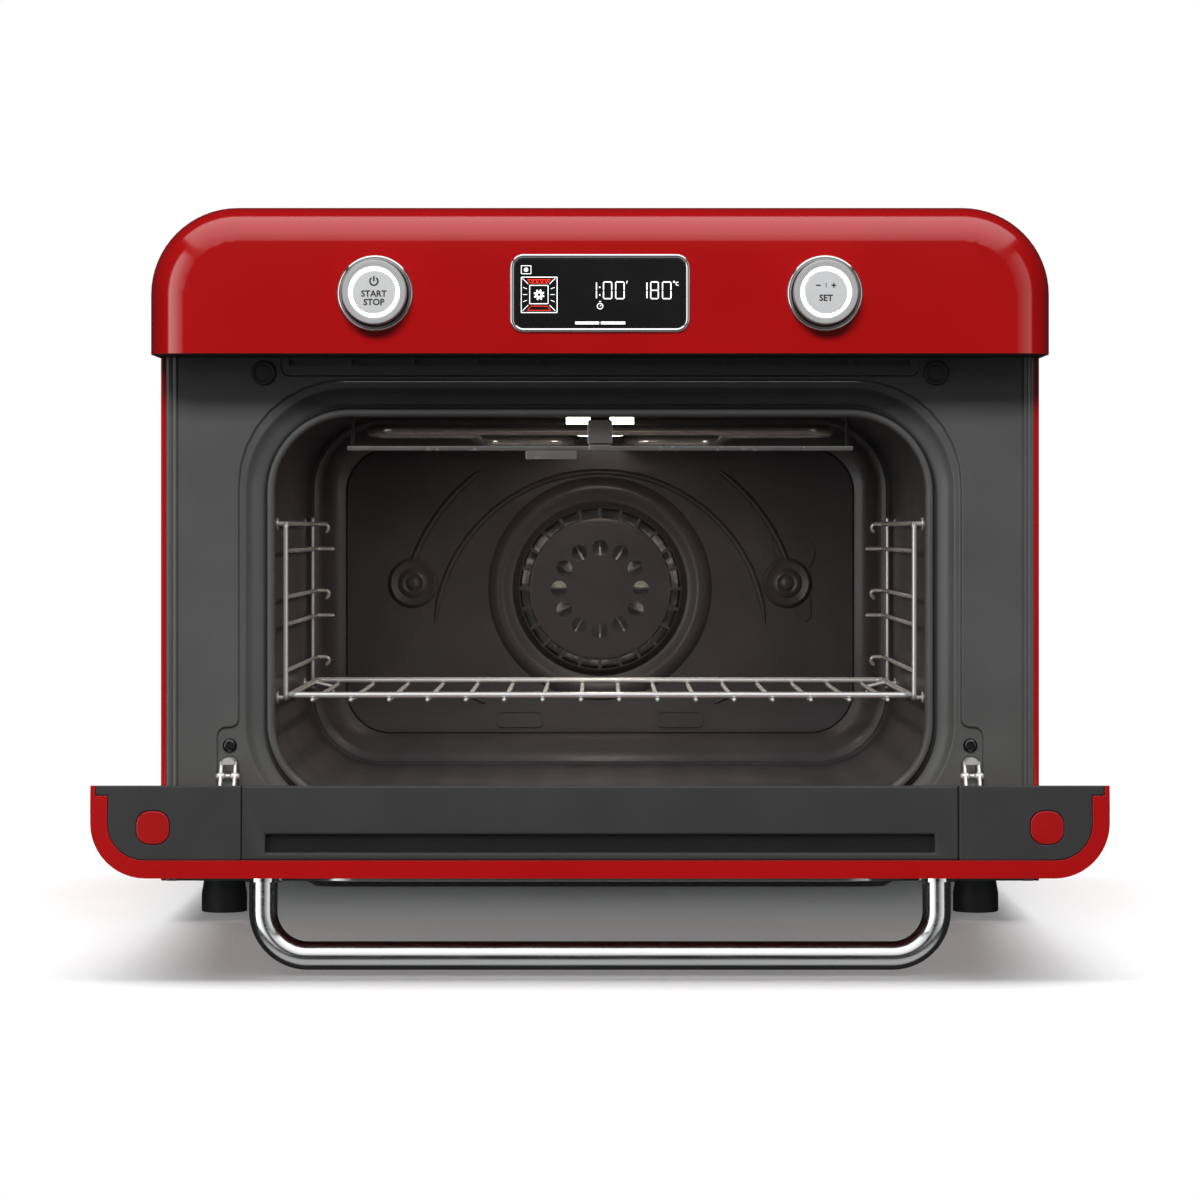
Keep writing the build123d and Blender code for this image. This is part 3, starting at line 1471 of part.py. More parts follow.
def insulation():
    """Insulation blankets round the cavity."""
    gap = touch_gap
    outer = cavity_half_width + sheet
    margin = blanket_margin
    low = cavity_bottom + opening_corner
    high = cavity_top - opening_corner
    rear = cavity_depth - cavity_back_round
    right = block(outer + gap, outer + gap + blanket, margin, rear, low, high)
    roof_low = cavity_top + sheet + gap
    roof = block(-cavity_half_width + opening_corner, cavity_half_width - opening_corner, margin, rear,
                 roof_low, roof_low + roof_blanket)
    roof -= rod_z(0, lamp_y, roof_low - 1, roof_low + roof_blanket + 1, lamp_holder_radius + 1)
    cut_half = cutout_flange_half + blanket_cut_gap
    cut_depth = cutout_radius + blanket_cut_gap
    roof -= block(cutout_x - cut_half, cutout_x + cut_half, cutout_y - cut_depth, cutout_y + cut_depth,
                  roof_low - 1, roof_low + roof_blanket + 1)
    floor_high = cavity_bottom - sheet - 2 * heater_radius - gap
    floor_half = cavity_half_width - opening_corner
    floor_blanket = block(-floor_half, floor_half, margin, rear, floor_high - blanket, floor_high)
    return both_sides(right) + [roof, floor_blanket]


def power_board():
    """Power circuit board with relays, on posts on the right side panel."""
    board_x = panel_inner - power_board_standoff
    y0 = power_board_y
    y1 = y0 + power_board_length
    z0 = power_board_z - power_board_height / 2
    z1 = z0 + power_board_height
    board = block(board_x - power_board_sheet, board_x, y0, y1, z0, z1)
    for y in (y0 + power_post_inset, y1 - power_post_inset):
        for z in (z0 + power_post_inset, z1 - power_post_inset):
            board += rod_x(board_x, panel_inner, y, z, power_post_radius)
    for index in range(relay_count):
        y = y0 + relay_inset + index * (relay_size + relay_gap)
        face = board_x - power_board_sheet
        board += block(face - relay_size, face, y, y + relay_size, power_board_z, power_board_z + relay_size)
    return board


def cord_gland():
    """Mains cord gland in the rear panel, with an open bore for a cord."""
    gland = rod_y(gland_x, body_depth - gland_length, body_depth, gland_z, gland_radius)
    gland += rod_y(gland_x, body_depth, body_depth + gland_flange_rise, gland_z, gland_flange)
    return gland - rod_y(gland_x, body_depth - gland_length - 1, body_depth + gland_flange_rise + 1,
                         gland_z, gland_bore)


def mirrored(shape):
    """The left-hand twin of a right-hand piece."""
    return mirror(shape, about=Plane.YZ)


def door_nodes():
    """Every piece of the door, turned to its open rest place."""
    closed = {
        "door_skin": [door_skin()],
        "door_inner_panel": [door_inner_panel()],
        "door_cap_centre": [door_cap_part(-cap_split, cap_split)],
        "door_cap_ends": both_sides(door_cap_part(cap_split + fit_gap, door_half)),
        "door_plugs": door_plugs(),
        "door_panes": [inner_pane(), middle_pane()],
        "outer_window": [outer_window()],
        "window_trim": [window_trim()],
        "pane_spacers": pane_spacers(),
        "door_handle": [door_handle()],
        "handle_fixings": handle_collars() + handle_screws(),
        "hinge_leaves": both_sides(hinge_leaf()),
    }
    return {name: [opened(shape) for shape in shapes] for name, shapes in closed.items()}


def case_nodes():
    """The fixed case, the cavity and what is built into them."""
    return {
        "hood": [hood()],
        "hood_floor": [hood_floor()],
        "side_panels": both_sides(side_panel()),
        "rear_panel": [rear_panel()],
        "base_pan": [base_pan()],
        "feet": feet(),
        "case_screws": rear_screws() + foot_screws(),
        "front_frame": [front_frame()],
        "cavity_liner": [cavity_liner()],
        "door_seal": [door_seal()],
        "door_bumpers": door_bumpers(),
        "side_racks": both_sides(side_rack()),
        "grill_element": [grill_element()],
        "grill_bracket": [grill_plate(), grill_clip()],
        "lamp_lens": [lamp_lens()],
        "lamp_holder": [lamp_holder()],
        "bottom_heater": [bottom_heater()],
        "hinge_arms": both_sides(hinge_arm()),
        "hinge_pins": hinge_pins(),
        "front_screws": hinge_screws() + cover_screws(),
        "insulation": insulation(),
    }


def works_nodes():
    """Fans, heaters, steam works and electrics behind and above the cavity."""
    return {
        "fan_cover": [fan_cover()],
        "fan_housing": [fan_housing()],
        "ring_heater": [ring_heater()],
        "convection_fan": [convection_fan(), fan_shaft()],
        "fan_motors": [fan_motor(), blower_motor()],
        "air_duct": [air_duct()],
        "blower_housing": [blower_housing()],
        "cooling_fan": [cooling_fan()],
        "tank_bay": [tank_bay()],
        "water_tank": [water_tank()],
        "tank_lid": [tank_lid_cover()],
        "water_pump": [water_pump()],
        "steam_boiler": [steam_boiler()],
        "water_pipes": water_hoses() + [steam_pipe()],
        "power_electrics": [power_board(), thermal_cutout()],
        "cord_gland": [cord_gland()],
        "wire_shelf": [wire_shelf()],
    }


def control_nodes():
    """The display and the two knobs in the hood's front."""
    right_dial = dial()
    right_button = push_button()
    return {
        "display_bezel": [display_bezel()],
        "display_glass": [display_glass()],
        "control_board": [control_board()],
        "knob_rings": both_sides(knob_ring()),
        "encoders": both_sides(encoder()),
        "light_rings": both_sides(light_ring()),
        "set_dial": [right_dial],
        "start_dial": [mirrored(right_dial)],
        "set_button": [right_button],
        "start_button": [mirrored(right_button)],
    }


def as_compound(shapes):
    """One compound of the separate solids in a node."""
    solids = []
    for shape in shapes:
        solids.extend(shape.solids())
    return Compound(solids)


def main():
    """Build every node, move the origin under the oven's middle and write the files."""
    os.makedirs("parts", exist_ok=True)
    nodes = {}
    for group in (case_nodes(), door_nodes(), works_nodes(), control_nodes()):
        for name, shapes in group.items():
            nodes[name] = as_compound(shapes)
    whole = Compound(list(nodes.values())).bounding_box()
    shift = Pos(-(whole.min.X + whole.max.X) / 2, -(whole.min.Y + whole.max.Y) / 2, -whole.min.Z)
    for name, shape in nodes.items():
        export_step(shift * shape, "parts/" + name + ".step")
    print("nodes", len(nodes))
    print("size", whole.size)
    print("shift", shift.position)


main()
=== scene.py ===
import json
import math

import bmesh
import bpy
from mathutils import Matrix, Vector
from mathutils.geometry import delaunay_2d_cdt


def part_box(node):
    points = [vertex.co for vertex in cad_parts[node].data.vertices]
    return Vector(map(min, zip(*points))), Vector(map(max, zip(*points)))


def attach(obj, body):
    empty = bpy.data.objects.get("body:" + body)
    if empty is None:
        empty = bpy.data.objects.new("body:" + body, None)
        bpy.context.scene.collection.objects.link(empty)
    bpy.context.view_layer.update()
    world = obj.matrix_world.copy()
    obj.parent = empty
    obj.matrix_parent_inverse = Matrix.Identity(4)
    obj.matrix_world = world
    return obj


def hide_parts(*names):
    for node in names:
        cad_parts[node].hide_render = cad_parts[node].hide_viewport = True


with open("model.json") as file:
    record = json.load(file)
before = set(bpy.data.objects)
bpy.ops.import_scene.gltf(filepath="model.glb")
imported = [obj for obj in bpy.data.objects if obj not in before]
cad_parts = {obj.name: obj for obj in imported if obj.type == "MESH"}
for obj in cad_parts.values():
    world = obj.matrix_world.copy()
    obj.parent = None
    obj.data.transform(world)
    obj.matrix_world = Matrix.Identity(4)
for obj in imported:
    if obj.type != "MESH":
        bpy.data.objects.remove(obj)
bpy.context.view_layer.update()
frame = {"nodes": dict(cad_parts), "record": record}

# Countertop steam oven with its drop-down door open.
# Sizes are in millimetres, with x = 0 on the centre line, y = 0 on the front frame's face
# with +y towards the rear, and z = 0 on the worktop. Door pieces are described closed.

# Placing
MM = 0.001
hood_front = -48.0
fascia_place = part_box("hood")[0][1] - hood_front * MM
door_hinge_y = -33.0
door_hinge_z = 46.0
door_angle = math.radians(86.0)
door_inside = -3.0
cap_face = 312.0
cap_slot_half = 162.3
cap_slot_near = 23.8
cap_slot_far = 32.5
cap_slot_depth = 4.0

# Hood
hood_half = 247.5
hood_low = 315.0
hood_high = 396.0
hood_corner = 48.0
hood_front_round = 20.0
hood_rear = 395.0
hood_rear_round = 10.0
hood_wall = 2.0
hood_lip = 2.2
tank_hole = (145.0, 338.0, 45.8, 40.8, 9.0)

# Front frame
frame_half = 242.25
frame_low = 22.5
plate_half = 235.5
recess_depth = 1.6
groove_depth = 7.3
recess_side = 202.7
recess_top = 303.0
recess_round = 60.0
pocket_side = 214.4
pocket_top = 109.0
pocket_low = 30.0
pocket_wall_share = 0.66
recess_wall = 2.0
channel_half = 178.5
channel_low = 304.0
channel_high = 314.6
channel_depth = 1.3
channel_round = 5.0
slot_half = 175.2
slot_low = 310.5
slot_high = 313.9
slot_count = 10
slot_divider = 2.4
opening_half = 181.8
opening_low = 68.7
opening_high = 281.4
opening_round = 42.0
arm_x = 206.9
lamp_y = 115.0
cavity_ceiling = 289.0
cavity_rear = 309.4
control_z = 347.8
dial_x = 122.9
fan_z = 181.0

# Meshes
weld_gap = 0.002
merge_gap = 0.001
flat_angle = 0.5
cad_crease = 32.0
bevel_steps = 2
bevel_from_angle = 30.0
wire_end_angles = (1.35, 0.9, 0.45)

# Printed marks
mark_centre = 599.5
mark_level = 527.0
mark_level_z = 220.0
mark_scale = 1.8297
mark_steps = 24

# Camera and light
camera_place = (0.0, -2.3168, 0.220)
camera_lens = 121.83
camera_shift = -0.0608
camera_sensor = 36.0
floor_light_power = 155.0
front_light_power = 88.0
rear_light_power = 7.0
oven_lamp_power = 0.6
floor_half = 0.7
floor_front = -0.5
floor_rear = 0.8
# Painted light: the floor's own glow, which lifts the shadow under the oven and its door.
painted_shadow_lift = 0.185
painted_lift_range = (0.25, -0.15)
room_dark = 0.02
ambient_above = 0.22
ambient_below = 0.012
ambient_range = (-0.25, 0.25)
panel_blur = (-0.02, 0.04)
panel_rear = 0.09
panel_top_light = 2.1
panel_front_light = 0.75
panel_low = (0.1, 0.2)
panel_rise = (0.12, 0.95)
left_panel_light = 3.0
right_panel_light = 1.1
side_tilt = 0.8
side_rear = (-0.5, -0.58)
side_low = (-0.28, -0.14)
side_fade = (0.12, 0.8)
side_change = 0.1
floor_glow = 0.5
glow_steep = (-0.3, -0.6)
glow_forward = (-0.1, -0.4)


def at(x, y, z):
    """A place on the oven, in the frame's metres."""
    return Vector((x * MM, fascia_place + y * MM, z * MM))


def on_door(x, y, z):
    """A place on the closed door, carried to where the open door has it."""
    dy = y - door_hinge_y
    dz = z - door_hinge_z
    c = math.cos(door_angle)
    s = math.sin(door_angle)
    return at(x, door_hinge_y + c * dy - s * dz, door_hinge_z + s * dy + c * dz)


# Outlines and skins


def rounded_loop(half, low, high, corner, x=0.0, steps=10, low_corner=None):
    """Points (x, z) of a rounded rectangle, anticlockwise from its lower left corner."""
    bottom = corner if low_corner is None else low_corner
    points = []
    for cx, cz, start, r in ((-half + bottom, low + bottom, 180, bottom),
                             (half - bottom, low + bottom, 270, bottom),
                             (half - corner, high - corner, 0, corner),
                             (-half + corner, high - corner, 90, corner)):
        for k in range(steps + 1):
            a = math.radians(start + 90 * k / steps)
            points.append((x + cx + r * math.cos(a), cz + r * math.sin(a)))
    return points


def ring_loop(radius, x=0.0, z=0.0, steps=64):
    """Points (x, z) of a circle."""
    return [(x + radius * math.cos(2 * math.pi * k / steps), z + radius * math.sin(2 * math.pi * k / steps))
            for k in range(steps)]


def corner_arc(before, here, after, radius):
    """Centre of a corner's rounding, and its arms to where the rounding starts and ends."""
    here = Vector(here)
    back = (Vector(before) - here).normalized()
    ahead = (Vector(after) - here).normalized()
    half_angle = back.angle(ahead) / 2
    reach = radius / math.tan(half_angle)
    centre = here + (back + ahead).normalized() * (radius / math.sin(half_angle))
    return centre, here + back * reach - centre, here + ahead * reach - centre


def rounded_polygon(corners, steps):
    """Points of a polygon whose corners are given as (x, z, radius)."""
    points = []
    for i, (x, z, r) in enumerate(corners):
        centre, first, last = corner_arc(corners[i - 1][:2], (x, z), corners[(i + 1) % len(corners)][:2], r)
        turn = first.angle_signed(last)
        start = math.atan2(first.y, first.x)
        for k in range(steps + 1):
            a = start - turn * k / steps
            points.append((centre.x + r * math.cos(a), centre.y + r * math.sin(a)))
    return points


def facing(loop, y):
    """A front-view loop at one depth."""
    return [(x, y, z) for x, z in loop]


def skin(loops, closed=True, first_cap=False, last_cap=False):
    """Points and faces of a skin stretched through loops of equal length."""
    count = len(loops[0])
    points = [p for loop in loops for p in loop]
    faces = []
    for k in range(len(loops) - 1):
        for i in range(count if closed else count - 1):
            j = (i + 1) % count
            faces.append((k * count + i, k * count + j, (k + 1) * count + j, (k + 1) * count + i))
    if first_cap:
        faces.append(tuple(range(count)))
    if last_cap:
        faces.append(tuple((len(loops) - 1) * count + i for i in range(count)))
    return points, faces


def encloses(loop, spot):
    """Whether a flat loop goes round a spot."""
    inside = False
    for i, (x1, z1) in enumerate(loop):
        x0, z0 = loop[i - 1]
        if (z0 > spot[1]) != (z1 > spot[1]) and spot[0] < x0 + (spot[1] - z0) * (x1 - x0) / (z1 - z0):
            inside = not inside
    return inside


def flat_region(outline, holes):
    """Points and faces of a flat region between an outline and its holes, all as 3-D loops."""
    spread = [max(p[a] for p in outline) - min(p[a] for p in outline) for a in range(3)]
    fixed = spread.index(min(spread))
    level = outline[0][fixed]
    kept = [a for a in range(3) if a != fixed]
    loops = [[(p[kept[0]], p[kept[1]]) for p in loop] for loop in [outline] + holes]
    spots = []
    edges = []
    for loop in loops:
        first = len(spots)
        spots += [Vector(p) for p in loop]
        edges += [(first + i, first + (i + 1) % len(loop)) for i in range(len(loop))]
    verts, _, faces, _, _, _ = delaunay_2d_cdt(spots, edges, [], 0, 0.00001)
    chosen = []
    for face in faces:
        middle = sum((verts[i] for i in face), Vector((0.0, 0.0))) / len(face)
        if encloses(loops[0], middle) and not any(encloses(hole, middle) for hole in loops[1:]):
            chosen.append(tuple(face))
    points = []
    for v in verts:
        point = [0.0, 0.0, 0.0]
        point[fixed] = level
        point[kept[0]], point[kept[1]] = v
        points.append(tuple(point))
    return points, chosen


def turned(profile, steps, x=0.0, z=0.0, capped=True):
    """Skin turned about an axis along y, from (radius, y) points."""
    return skin([facing(ring_loop(r, x, z, steps), y) for r, y in profile],
                first_cap=capped and profile[0][0] > 0, last_cap=capped and profile[-1][0] > 0)


def bent_path(points, bend, steps):
    """A path through points with each corner rounded."""
    path = [Vector(points[0])]
    for before, here, after in zip(points, points[1:], points[2:]):
        centre, first, last = corner_arc(before, here, after, bend)
        path += [centre + first.slerp(last, k / steps) * bend for k in range(steps + 1)]
    path.append(Vector(points[-1]))
    return path


def wire(path, radius, sides=12, round_ends=True):
    """Skin of a round wire along a path."""
    path = [Vector(p) for p in path]
    along = [(path[min(i + 1, len(path) - 1)] - path[max(i - 1, 0)]).normalized() for i in range(len(path))]
    side = along[0].orthogonal().normalized()
    frames = []
    for i, way in enumerate(along):
        side = (side - way * side.dot(way)).normalized()
        frames.append((path[i], side, way.cross(side), radius))
    if round_ends:
        start, s, u, _ = frames[0]
        end, s2, u2, _ = frames[-1]
        nose = [(start - along[0] * radius * math.sin(a), s, u, radius * math.cos(a))
                for a in wire_end_angles]
        tail = [(end + along[-1] * radius * math.sin(a), s2, u2, radius * math.cos(a))
                for a in reversed(wire_end_angles)]
        frames = nose + frames + tail
    loops = []
    for middle, s, u, r in frames:
        loops.append([tuple(middle + s * (r * math.cos(2 * math.pi * k / sides))
                            + u * (r * math.sin(2 * math.pi * k / sides))) for k in range(sides)])
    return skin(loops, first_cap=True, last_cap=True)


def slab(x0, x1, y0, y1, z0, z1):
    """Skin of a plain block."""
    points = [(x, y, z) for x in (x0, x1) for y in (y0, y1) for z in (z0, z1)]
    faces = [(0, 1, 3, 2), (4, 6, 7, 5), (0, 4, 5, 1), (2, 3, 7, 6), (0, 2, 6, 4), (1, 5, 7, 3)]
    return points, faces


def both_sides(parts):
    """Skins with their twins across the centre line."""
    return parts + [([(-x, y, z) for x, y, z in points], [tuple(reversed(f)) for f in faces])
                    for points, faces in parts]


def new_thing(name, mesh):
    """A new object in the scene."""
    thing = bpy.data.objects.new(name, mesh)
    bpy.context.scene.collection.objects.link(thing)
    return thing


def piece(name, parts, finish, body, node="", place=at, crease=50.0, bevel=0.0, wall=0.0):
    """One finished piece from skins."""
    shape = bmesh.new()
    for points, faces in parts:
        verts = [shape.verts.new(place(*p)) for p in points]
        for face in faces:
            try:
                shape.faces.new([verts[i] for i in face])
            except ValueError:
                pass
    bmesh.ops.remove_doubles(shape, verts=shape.verts, dist=weld_gap * MM)
    bmesh.ops.recalc_face_normals(shape, faces=shape.faces)
    finished(name, shape, finish, body, node, crease, bevel, wall)


def finished(name, shape, finish, body, node, crease, bevel, wall=0.0):
    """Walls, rounded edges and smooth shading, settled into a mesh, and the piece's body and slot."""
    mesh = bpy.data.meshes.new(name)
    shape.to_mesh(mesh)
    shape.free()
    mesh.materials.clear()
    mesh.materials.append(finish)
    thing = new_thing(name, mesh)
    if wall:
        shell = thing.modifiers.new("wall", "SOLIDIFY")
        shell.thickness = wall * MM
        shell.offset = -1.0
        shell.use_even_offset = True
    if bevel:
        edge = thing.modifiers.new("edges", "BEVEL")
        edge.width = bevel * MM
        edge.segments = bevel_steps
        edge.limit_method = "ANGLE"
        edge.angle_limit = math.radians(bevel_from_angle)
    settle(thing)
    thing.data.shade_smooth()
    thing.data.set_sharp_from_angle(angle=math.radians(crease))
    weigh = thing.modifiers.new("normals", "WEIGHTED_NORMAL")
    weigh.keep_sharp = True
    settle(thing)
    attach(thing, body)
    if node:
        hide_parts(node)


def settle(thing):
    """The modifiers' result as the object's own mesh."""
    bpy.context.view_layer.update()
    result = bpy.data.meshes.new_from_object(thing.evaluated_get(bpy.context.evaluated_depsgraph_get()))
    thing.modifiers.clear()
    old = thing.data
    thing.data = result
    bpy.data.meshes.remove(old)


def softened(node, body, finish, bevel):
    """A CAD piece's shape with its edges slightly rounded and its faces smooth."""
    source = frame["nodes"][node]
    shape = bmesh.new()
    shape.from_mesh(source.data)
    bmesh.ops.transform(shape, matrix=source.matrix_world, verts=shape.verts)
    bmesh.ops.remove_doubles(shape, verts=shape.verts, dist=merge_gap * MM)
    bmesh.ops.dissolve_limit(shape, angle_limit=math.radians(flat_angle), verts=shape.verts,
                             edges=shape.edges)
    finished(node + "_finish", shape, finish, body, node, cad_crease, bevel)


# Materials


def tint(code):
    """Linear colour of an sRGB hex code."""
    levels = [int(code[i:i + 2], 16) / 255 for i in (1, 3, 5)]
    return [v / 12.92 if v <= 0.04045 else ((v + 0.055) / 1.055) ** 2.4 for v in levels] + [1.0]


def add(tree, kind, links=None, **settings):
    """A node with its settings, and with its inputs linked or set by name or number."""
    node = tree.nodes.new(kind)
    for key, value in settings.items():
        setattr(node, key, value)
    for key, value in (links or {}).items():
        if isinstance(value, bpy.types.NodeSocket):
            tree.links.new(value, node.inputs[key])
        else:
            node.inputs[key].default_value = value
    return node


def new_material(name, **values):
    """A material with its shader's values set, and its tree, shader and object coordinates."""
    material = bpy.data.materials.new(name)
    material.use_nodes = True
    tree = material.node_tree
    tree.nodes.clear()
    shader = add(tree, "ShaderNodeBsdfPrincipled", {k.replace("_", " "): v for k, v in values.items()})
    out = add(tree, "ShaderNodeOutputMaterial")
    tree.links.new(shader.outputs[0], out.inputs[0])
    place = add(tree, "ShaderNodeTexCoord").outputs["Object"]
    return material, tree, shader, place


def per_mm(size):
    """Texture scale for a pattern of that size in millimetres."""
    return 1.0 / (size * MM)


def noise(tree, place, size, detail):
    """A noise texture's level, for a pattern of that size in millimetres."""
    return add(tree, "ShaderNodeTexNoise", {"Vector": place, "Scale": per_mm(size),
                                            "Detail": detail}).outputs[0]


def ramp(tree, value, low, high, start=0.0, end=1.0):
    """A level that goes evenly from start to end as a value goes from low to high."""
    return add(tree, "ShaderNodeMapRange", {"Value": value, "From Min": low, "From Max": high,
                                            "To Min": start, "To Max": end}).outputs[0]


def raise_grain(tree, shader, height, depth):
    """Bump from a height between 0 and 1, with its real depth in millimetres."""
    bump = add(tree, "ShaderNodeBump", {"Height": height, "Distance": depth * MM, "Strength": 1.0})
    tree.links.new(bump.outputs[0], shader.inputs["Normal"])


def shade_between(tree, factor, dark, light, low=0.35, high=0.65):
    """A colour between two hex codes, by a factor."""
    shades = add(tree, "ShaderNodeValToRGB", {"Fac": factor})
    for element, position, code in zip(shades.color_ramp.elements, (low, high), (dark, light)):
        element.position = position
        element.color = tint(code)
    return shades.outputs[0]


def paint(tree, shader, factor, dark, light, low=0.35, high=0.65):
    """Base colour between two hex codes, by a factor."""
    tree.links.new(shade_between(tree, factor, dark, light, low, high), shader.inputs["Base Color"])


def roughness_between(tree, shader, factor, low, high):
    """Roughness that drifts between two values by a factor."""
    tree.links.new(ramp(tree, factor, 0.3, 0.7, low, high), shader.inputs["Roughness"])


def gloss_enamel(name, dark, light):
    """Sprayed and baked gloss enamel: deep even colour, sharp reflections and a faint orange peel."""
    material, tree, shader, place = new_material(name, Roughness=0.16, IOR=1.5, Coat_Weight=0.6,
                                                 Coat_Roughness=0.03, Coat_IOR=1.5)
    cloud = noise(tree, place, 60.0, 2.0)
    paint(tree, shader, cloud, dark, light)
    skin_noise = noise(tree, place, 5.0, 1.0)
    raise_grain(tree, shader, skin_noise, 0.012)
    return material


def satin_enamel(name, dark, light, roughness, speck_size, speck):
    """Vitreous enamel fired on steel: satin gloss with fine pits and pale specks."""
    material, tree, shader, place = new_material(name, IOR=1.5, Coat_Weight=0.12, Coat_Roughness=0.2)
    cloud = noise(tree, place, 45.0, 3.0)
    base = shade_between(tree, cloud, dark, light)
    specks = add(tree, "ShaderNodeTexVoronoi", {"Vector": place, "Scale": per_mm(speck_size)})
    spot = ramp(tree, specks.outputs["Distance"], 0.05, 0.16, 1.0, 0.0)
    mixed = add(tree, "ShaderNodeMix", {0: spot, 6: base, 7: tint(speck)}, data_type="RGBA")
    tree.links.new(mixed.outputs[2], shader.inputs["Base Color"])
    roughness_between(tree, shader, cloud, roughness - 0.04, roughness + 0.04)
    grain = noise(tree, place, 0.9, 2.0)
    raise_grain(tree, shader, grain, 0.02)
    return material


def plated_metal(name, colour, roughness, metal=1.0):
    """Polished plate: near-mirror with a slight drift in its gloss."""
    material, tree, shader, place = new_material(name, Base_Color=tint(colour), Metallic=metal)
    cloud = noise(tree, place, 12.0, 3.0)
    roughness_between(tree, shader, cloud, roughness, roughness + 0.04)
    fine = noise(tree, place, 2.5, 2.0)
    raise_grain(tree, shader, fine, 0.003)
    return material


def drawn_metal(name, dark, light, roughness, depth):
    """Metal with a fine drawn grain along x."""
    material, tree, shader, place = new_material(name, Metallic=1.0)
    lines_place = add(tree, "ShaderNodeMapping", {"Vector": place, "Scale": (0.02, 1.0, 1.0)}).outputs[0]
    lines = noise(tree, lines_place, 0.5, 4.0)
    paint(tree, shader, lines, dark, light, 0.3, 0.7)
    roughness_between(tree, shader, lines, roughness - 0.05, roughness + 0.07)
    raise_grain(tree, shader, lines, depth)
    return material


def spun_metal(name, dark, light, x, roughness):
    """Metal faced on a lathe: fine rings about a knob's centre."""
    material, tree, shader, place = new_material(name, Metallic=0.25)
    centre = at(x, 0.0, control_z)
    centred = add(tree, "ShaderNodeMapping", {"Vector": place,
                                              "Location": (-centre.x, 0.0, -centre.z)}).outputs[0]
    flat = add(tree, "ShaderNodeMapping", {"Vector": centred, "Scale": (1.0, 0.0, 1.0)}).outputs[0]
    away = add(tree, "ShaderNodeVectorMath", {0: flat}, operation="LENGTH").outputs["Value"]
    rings = add(tree, "ShaderNodeTexNoise", {"W": away, "Scale": per_mm(0.35), "Detail": 3.0},
                noise_dimensions="1D")
    paint(tree, shader, rings.outputs[0], dark, light, 0.3, 0.7)
    roughness_between(tree, shader, rings.outputs[0], roughness, roughness + 0.08)
    raise_grain(tree, shader, rings.outputs[0], 0.004)
    return material


def moulded_plastic(name, dark, light, roughness, grain=0.8, depth=0.015, coat=0.0):
    """Injection-moulded plastic: a fine spark-eroded grain and a soft sheen."""
    material, tree, shader, place = new_material(name, IOR=1.46, Coat_Weight=coat, Coat_Roughness=0.1)
    cloud = noise(tree, place, 30.0, 2.0)
    paint(tree, shader, cloud, dark, light)
    roughness_between(tree, shader, cloud, roughness - 0.03, roughness + 0.05)
    pits = noise(tree, place, grain, 3.0)
    raise_grain(tree, shader, pits, depth)
    return material


def zinc_coated(name, dark, light):
    """Hot-dip zinc on steel sheet: pale spangles of slightly different grey."""
    material, tree, shader, place = new_material(name, Metallic=0.9)
    spangle = add(tree, "ShaderNodeTexVoronoi", {"Vector": place, "Scale": per_mm(9.0)})
    paint(tree, shader, spangle.outputs["Color"], dark, light, 0.2, 0.8)
    roughness_between(tree, shader, spangle.outputs["Distance"], 0.34, 0.46)
    return material


def see_through(name, colour, roughness, ior, alpha):
    """Clear glass or plastic, drawn with alpha so that it exports, with a faint surface drift."""
    material, tree, shader, place = new_material(name, Base_Color=tint(colour), IOR=ior, Alpha=alpha)
    drift = noise(tree, place, 40.0, 2.0)
    roughness_between(tree, shader, drift, roughness, roughness + 0.03)
    return material


def printed(name, colour, glow):
    """A lit or printed mark: flat ink with a faint stipple."""
    material, tree, shader, place = new_material(name, Roughness=0.6, Emission_Color=tint(colour),
                                                 Emission_Strength=glow)
    ink = noise(tree, place, 0.6, 1.0)
    paint(tree, shader, ink, colour, colour)
    return material


def mineral_wool(name, dark, light):
    """Felted mineral wool: crossing fibres and a rough soft face."""
    material, tree, shader, place = new_material(name, Roughness=0.95, Sheen_Weight=0.3)
    fibre = add(tree, "ShaderNodeTexNoise", {"Vector": place, "Scale": per_mm(3.0), "Detail": 6.0,
                                             "Distortion": 1.5})
    paint(tree, shader, fibre.outputs[0], dark, light)
    raise_grain(tree, shader, fibre.outputs[0], 0.6)
    return material


red_enamel = gloss_enamel("red gloss enamel", "#B10D0F", "#B50F11")
frame_enamel = satin_enamel("grey satin enamel", "#4D4E4D", "#525352", 0.42, 3.0, "#585958")
cavity_enamel = satin_enamel("dark vitreous enamel", "#38373A", "#3E3D40", 0.34, 3.0, "#4C4B4E")
chrome = plated_metal("bright chrome plate", "#D9DADB", 0.07)
steel_wire = plated_metal("chromed steel wire", "#DCDCDC", 0.2, metal=0.6)
handle_steel = drawn_metal("polished stainless tube", "#D0D1D2", "#DCDDDE", 0.16, depth=0.001)
stamped_steel = plated_metal("stamped stainless steel", "#DEDDDA", 0.24, metal=0.55)
black_chrome = plated_metal("black screw finish", "#4A4A4C", 0.2)
heater_skin = plated_metal("bright heater sheath", "#C4C0BC", 0.18, metal=0.75)
zinc_sheet = zinc_coated("zinc-coated sheet", "#8F9294", "#A3A6A8")
cap_plastic = moulded_plastic("dark grey ABS", "#2B2B2B", "#2F2F2F", 0.5)
black_plastic = moulded_plastic("black ABS", "#1C1C1E", "#222224", 0.5)
# Near-black colour of the sheet in the door cap's slot: painted shade, not the cap's own colour.
painted_slot_shade = moulded_plastic("near-black painted slot shade", "#080808", "#0C0C0C", 0.75, 1.2, 0.05)
red_plastic = moulded_plastic("red ABS", "#A60B0D", "#AA0D0F", 0.25, 1.2, 0.004, 0.3)
white_plastic = moulded_plastic("white nylon", "#D9D9D6", "#E0E0DD", 0.45)
button_plastic = moulded_plastic("pale grey satin plastic", "#D4D5D6", "#DADBDC", 0.38, 0.7, 0.006, 0.1)
rubber = moulded_plastic("black silicone rubber", "#1D1E20", "#242527", 0.62, 1.0, 0.02)
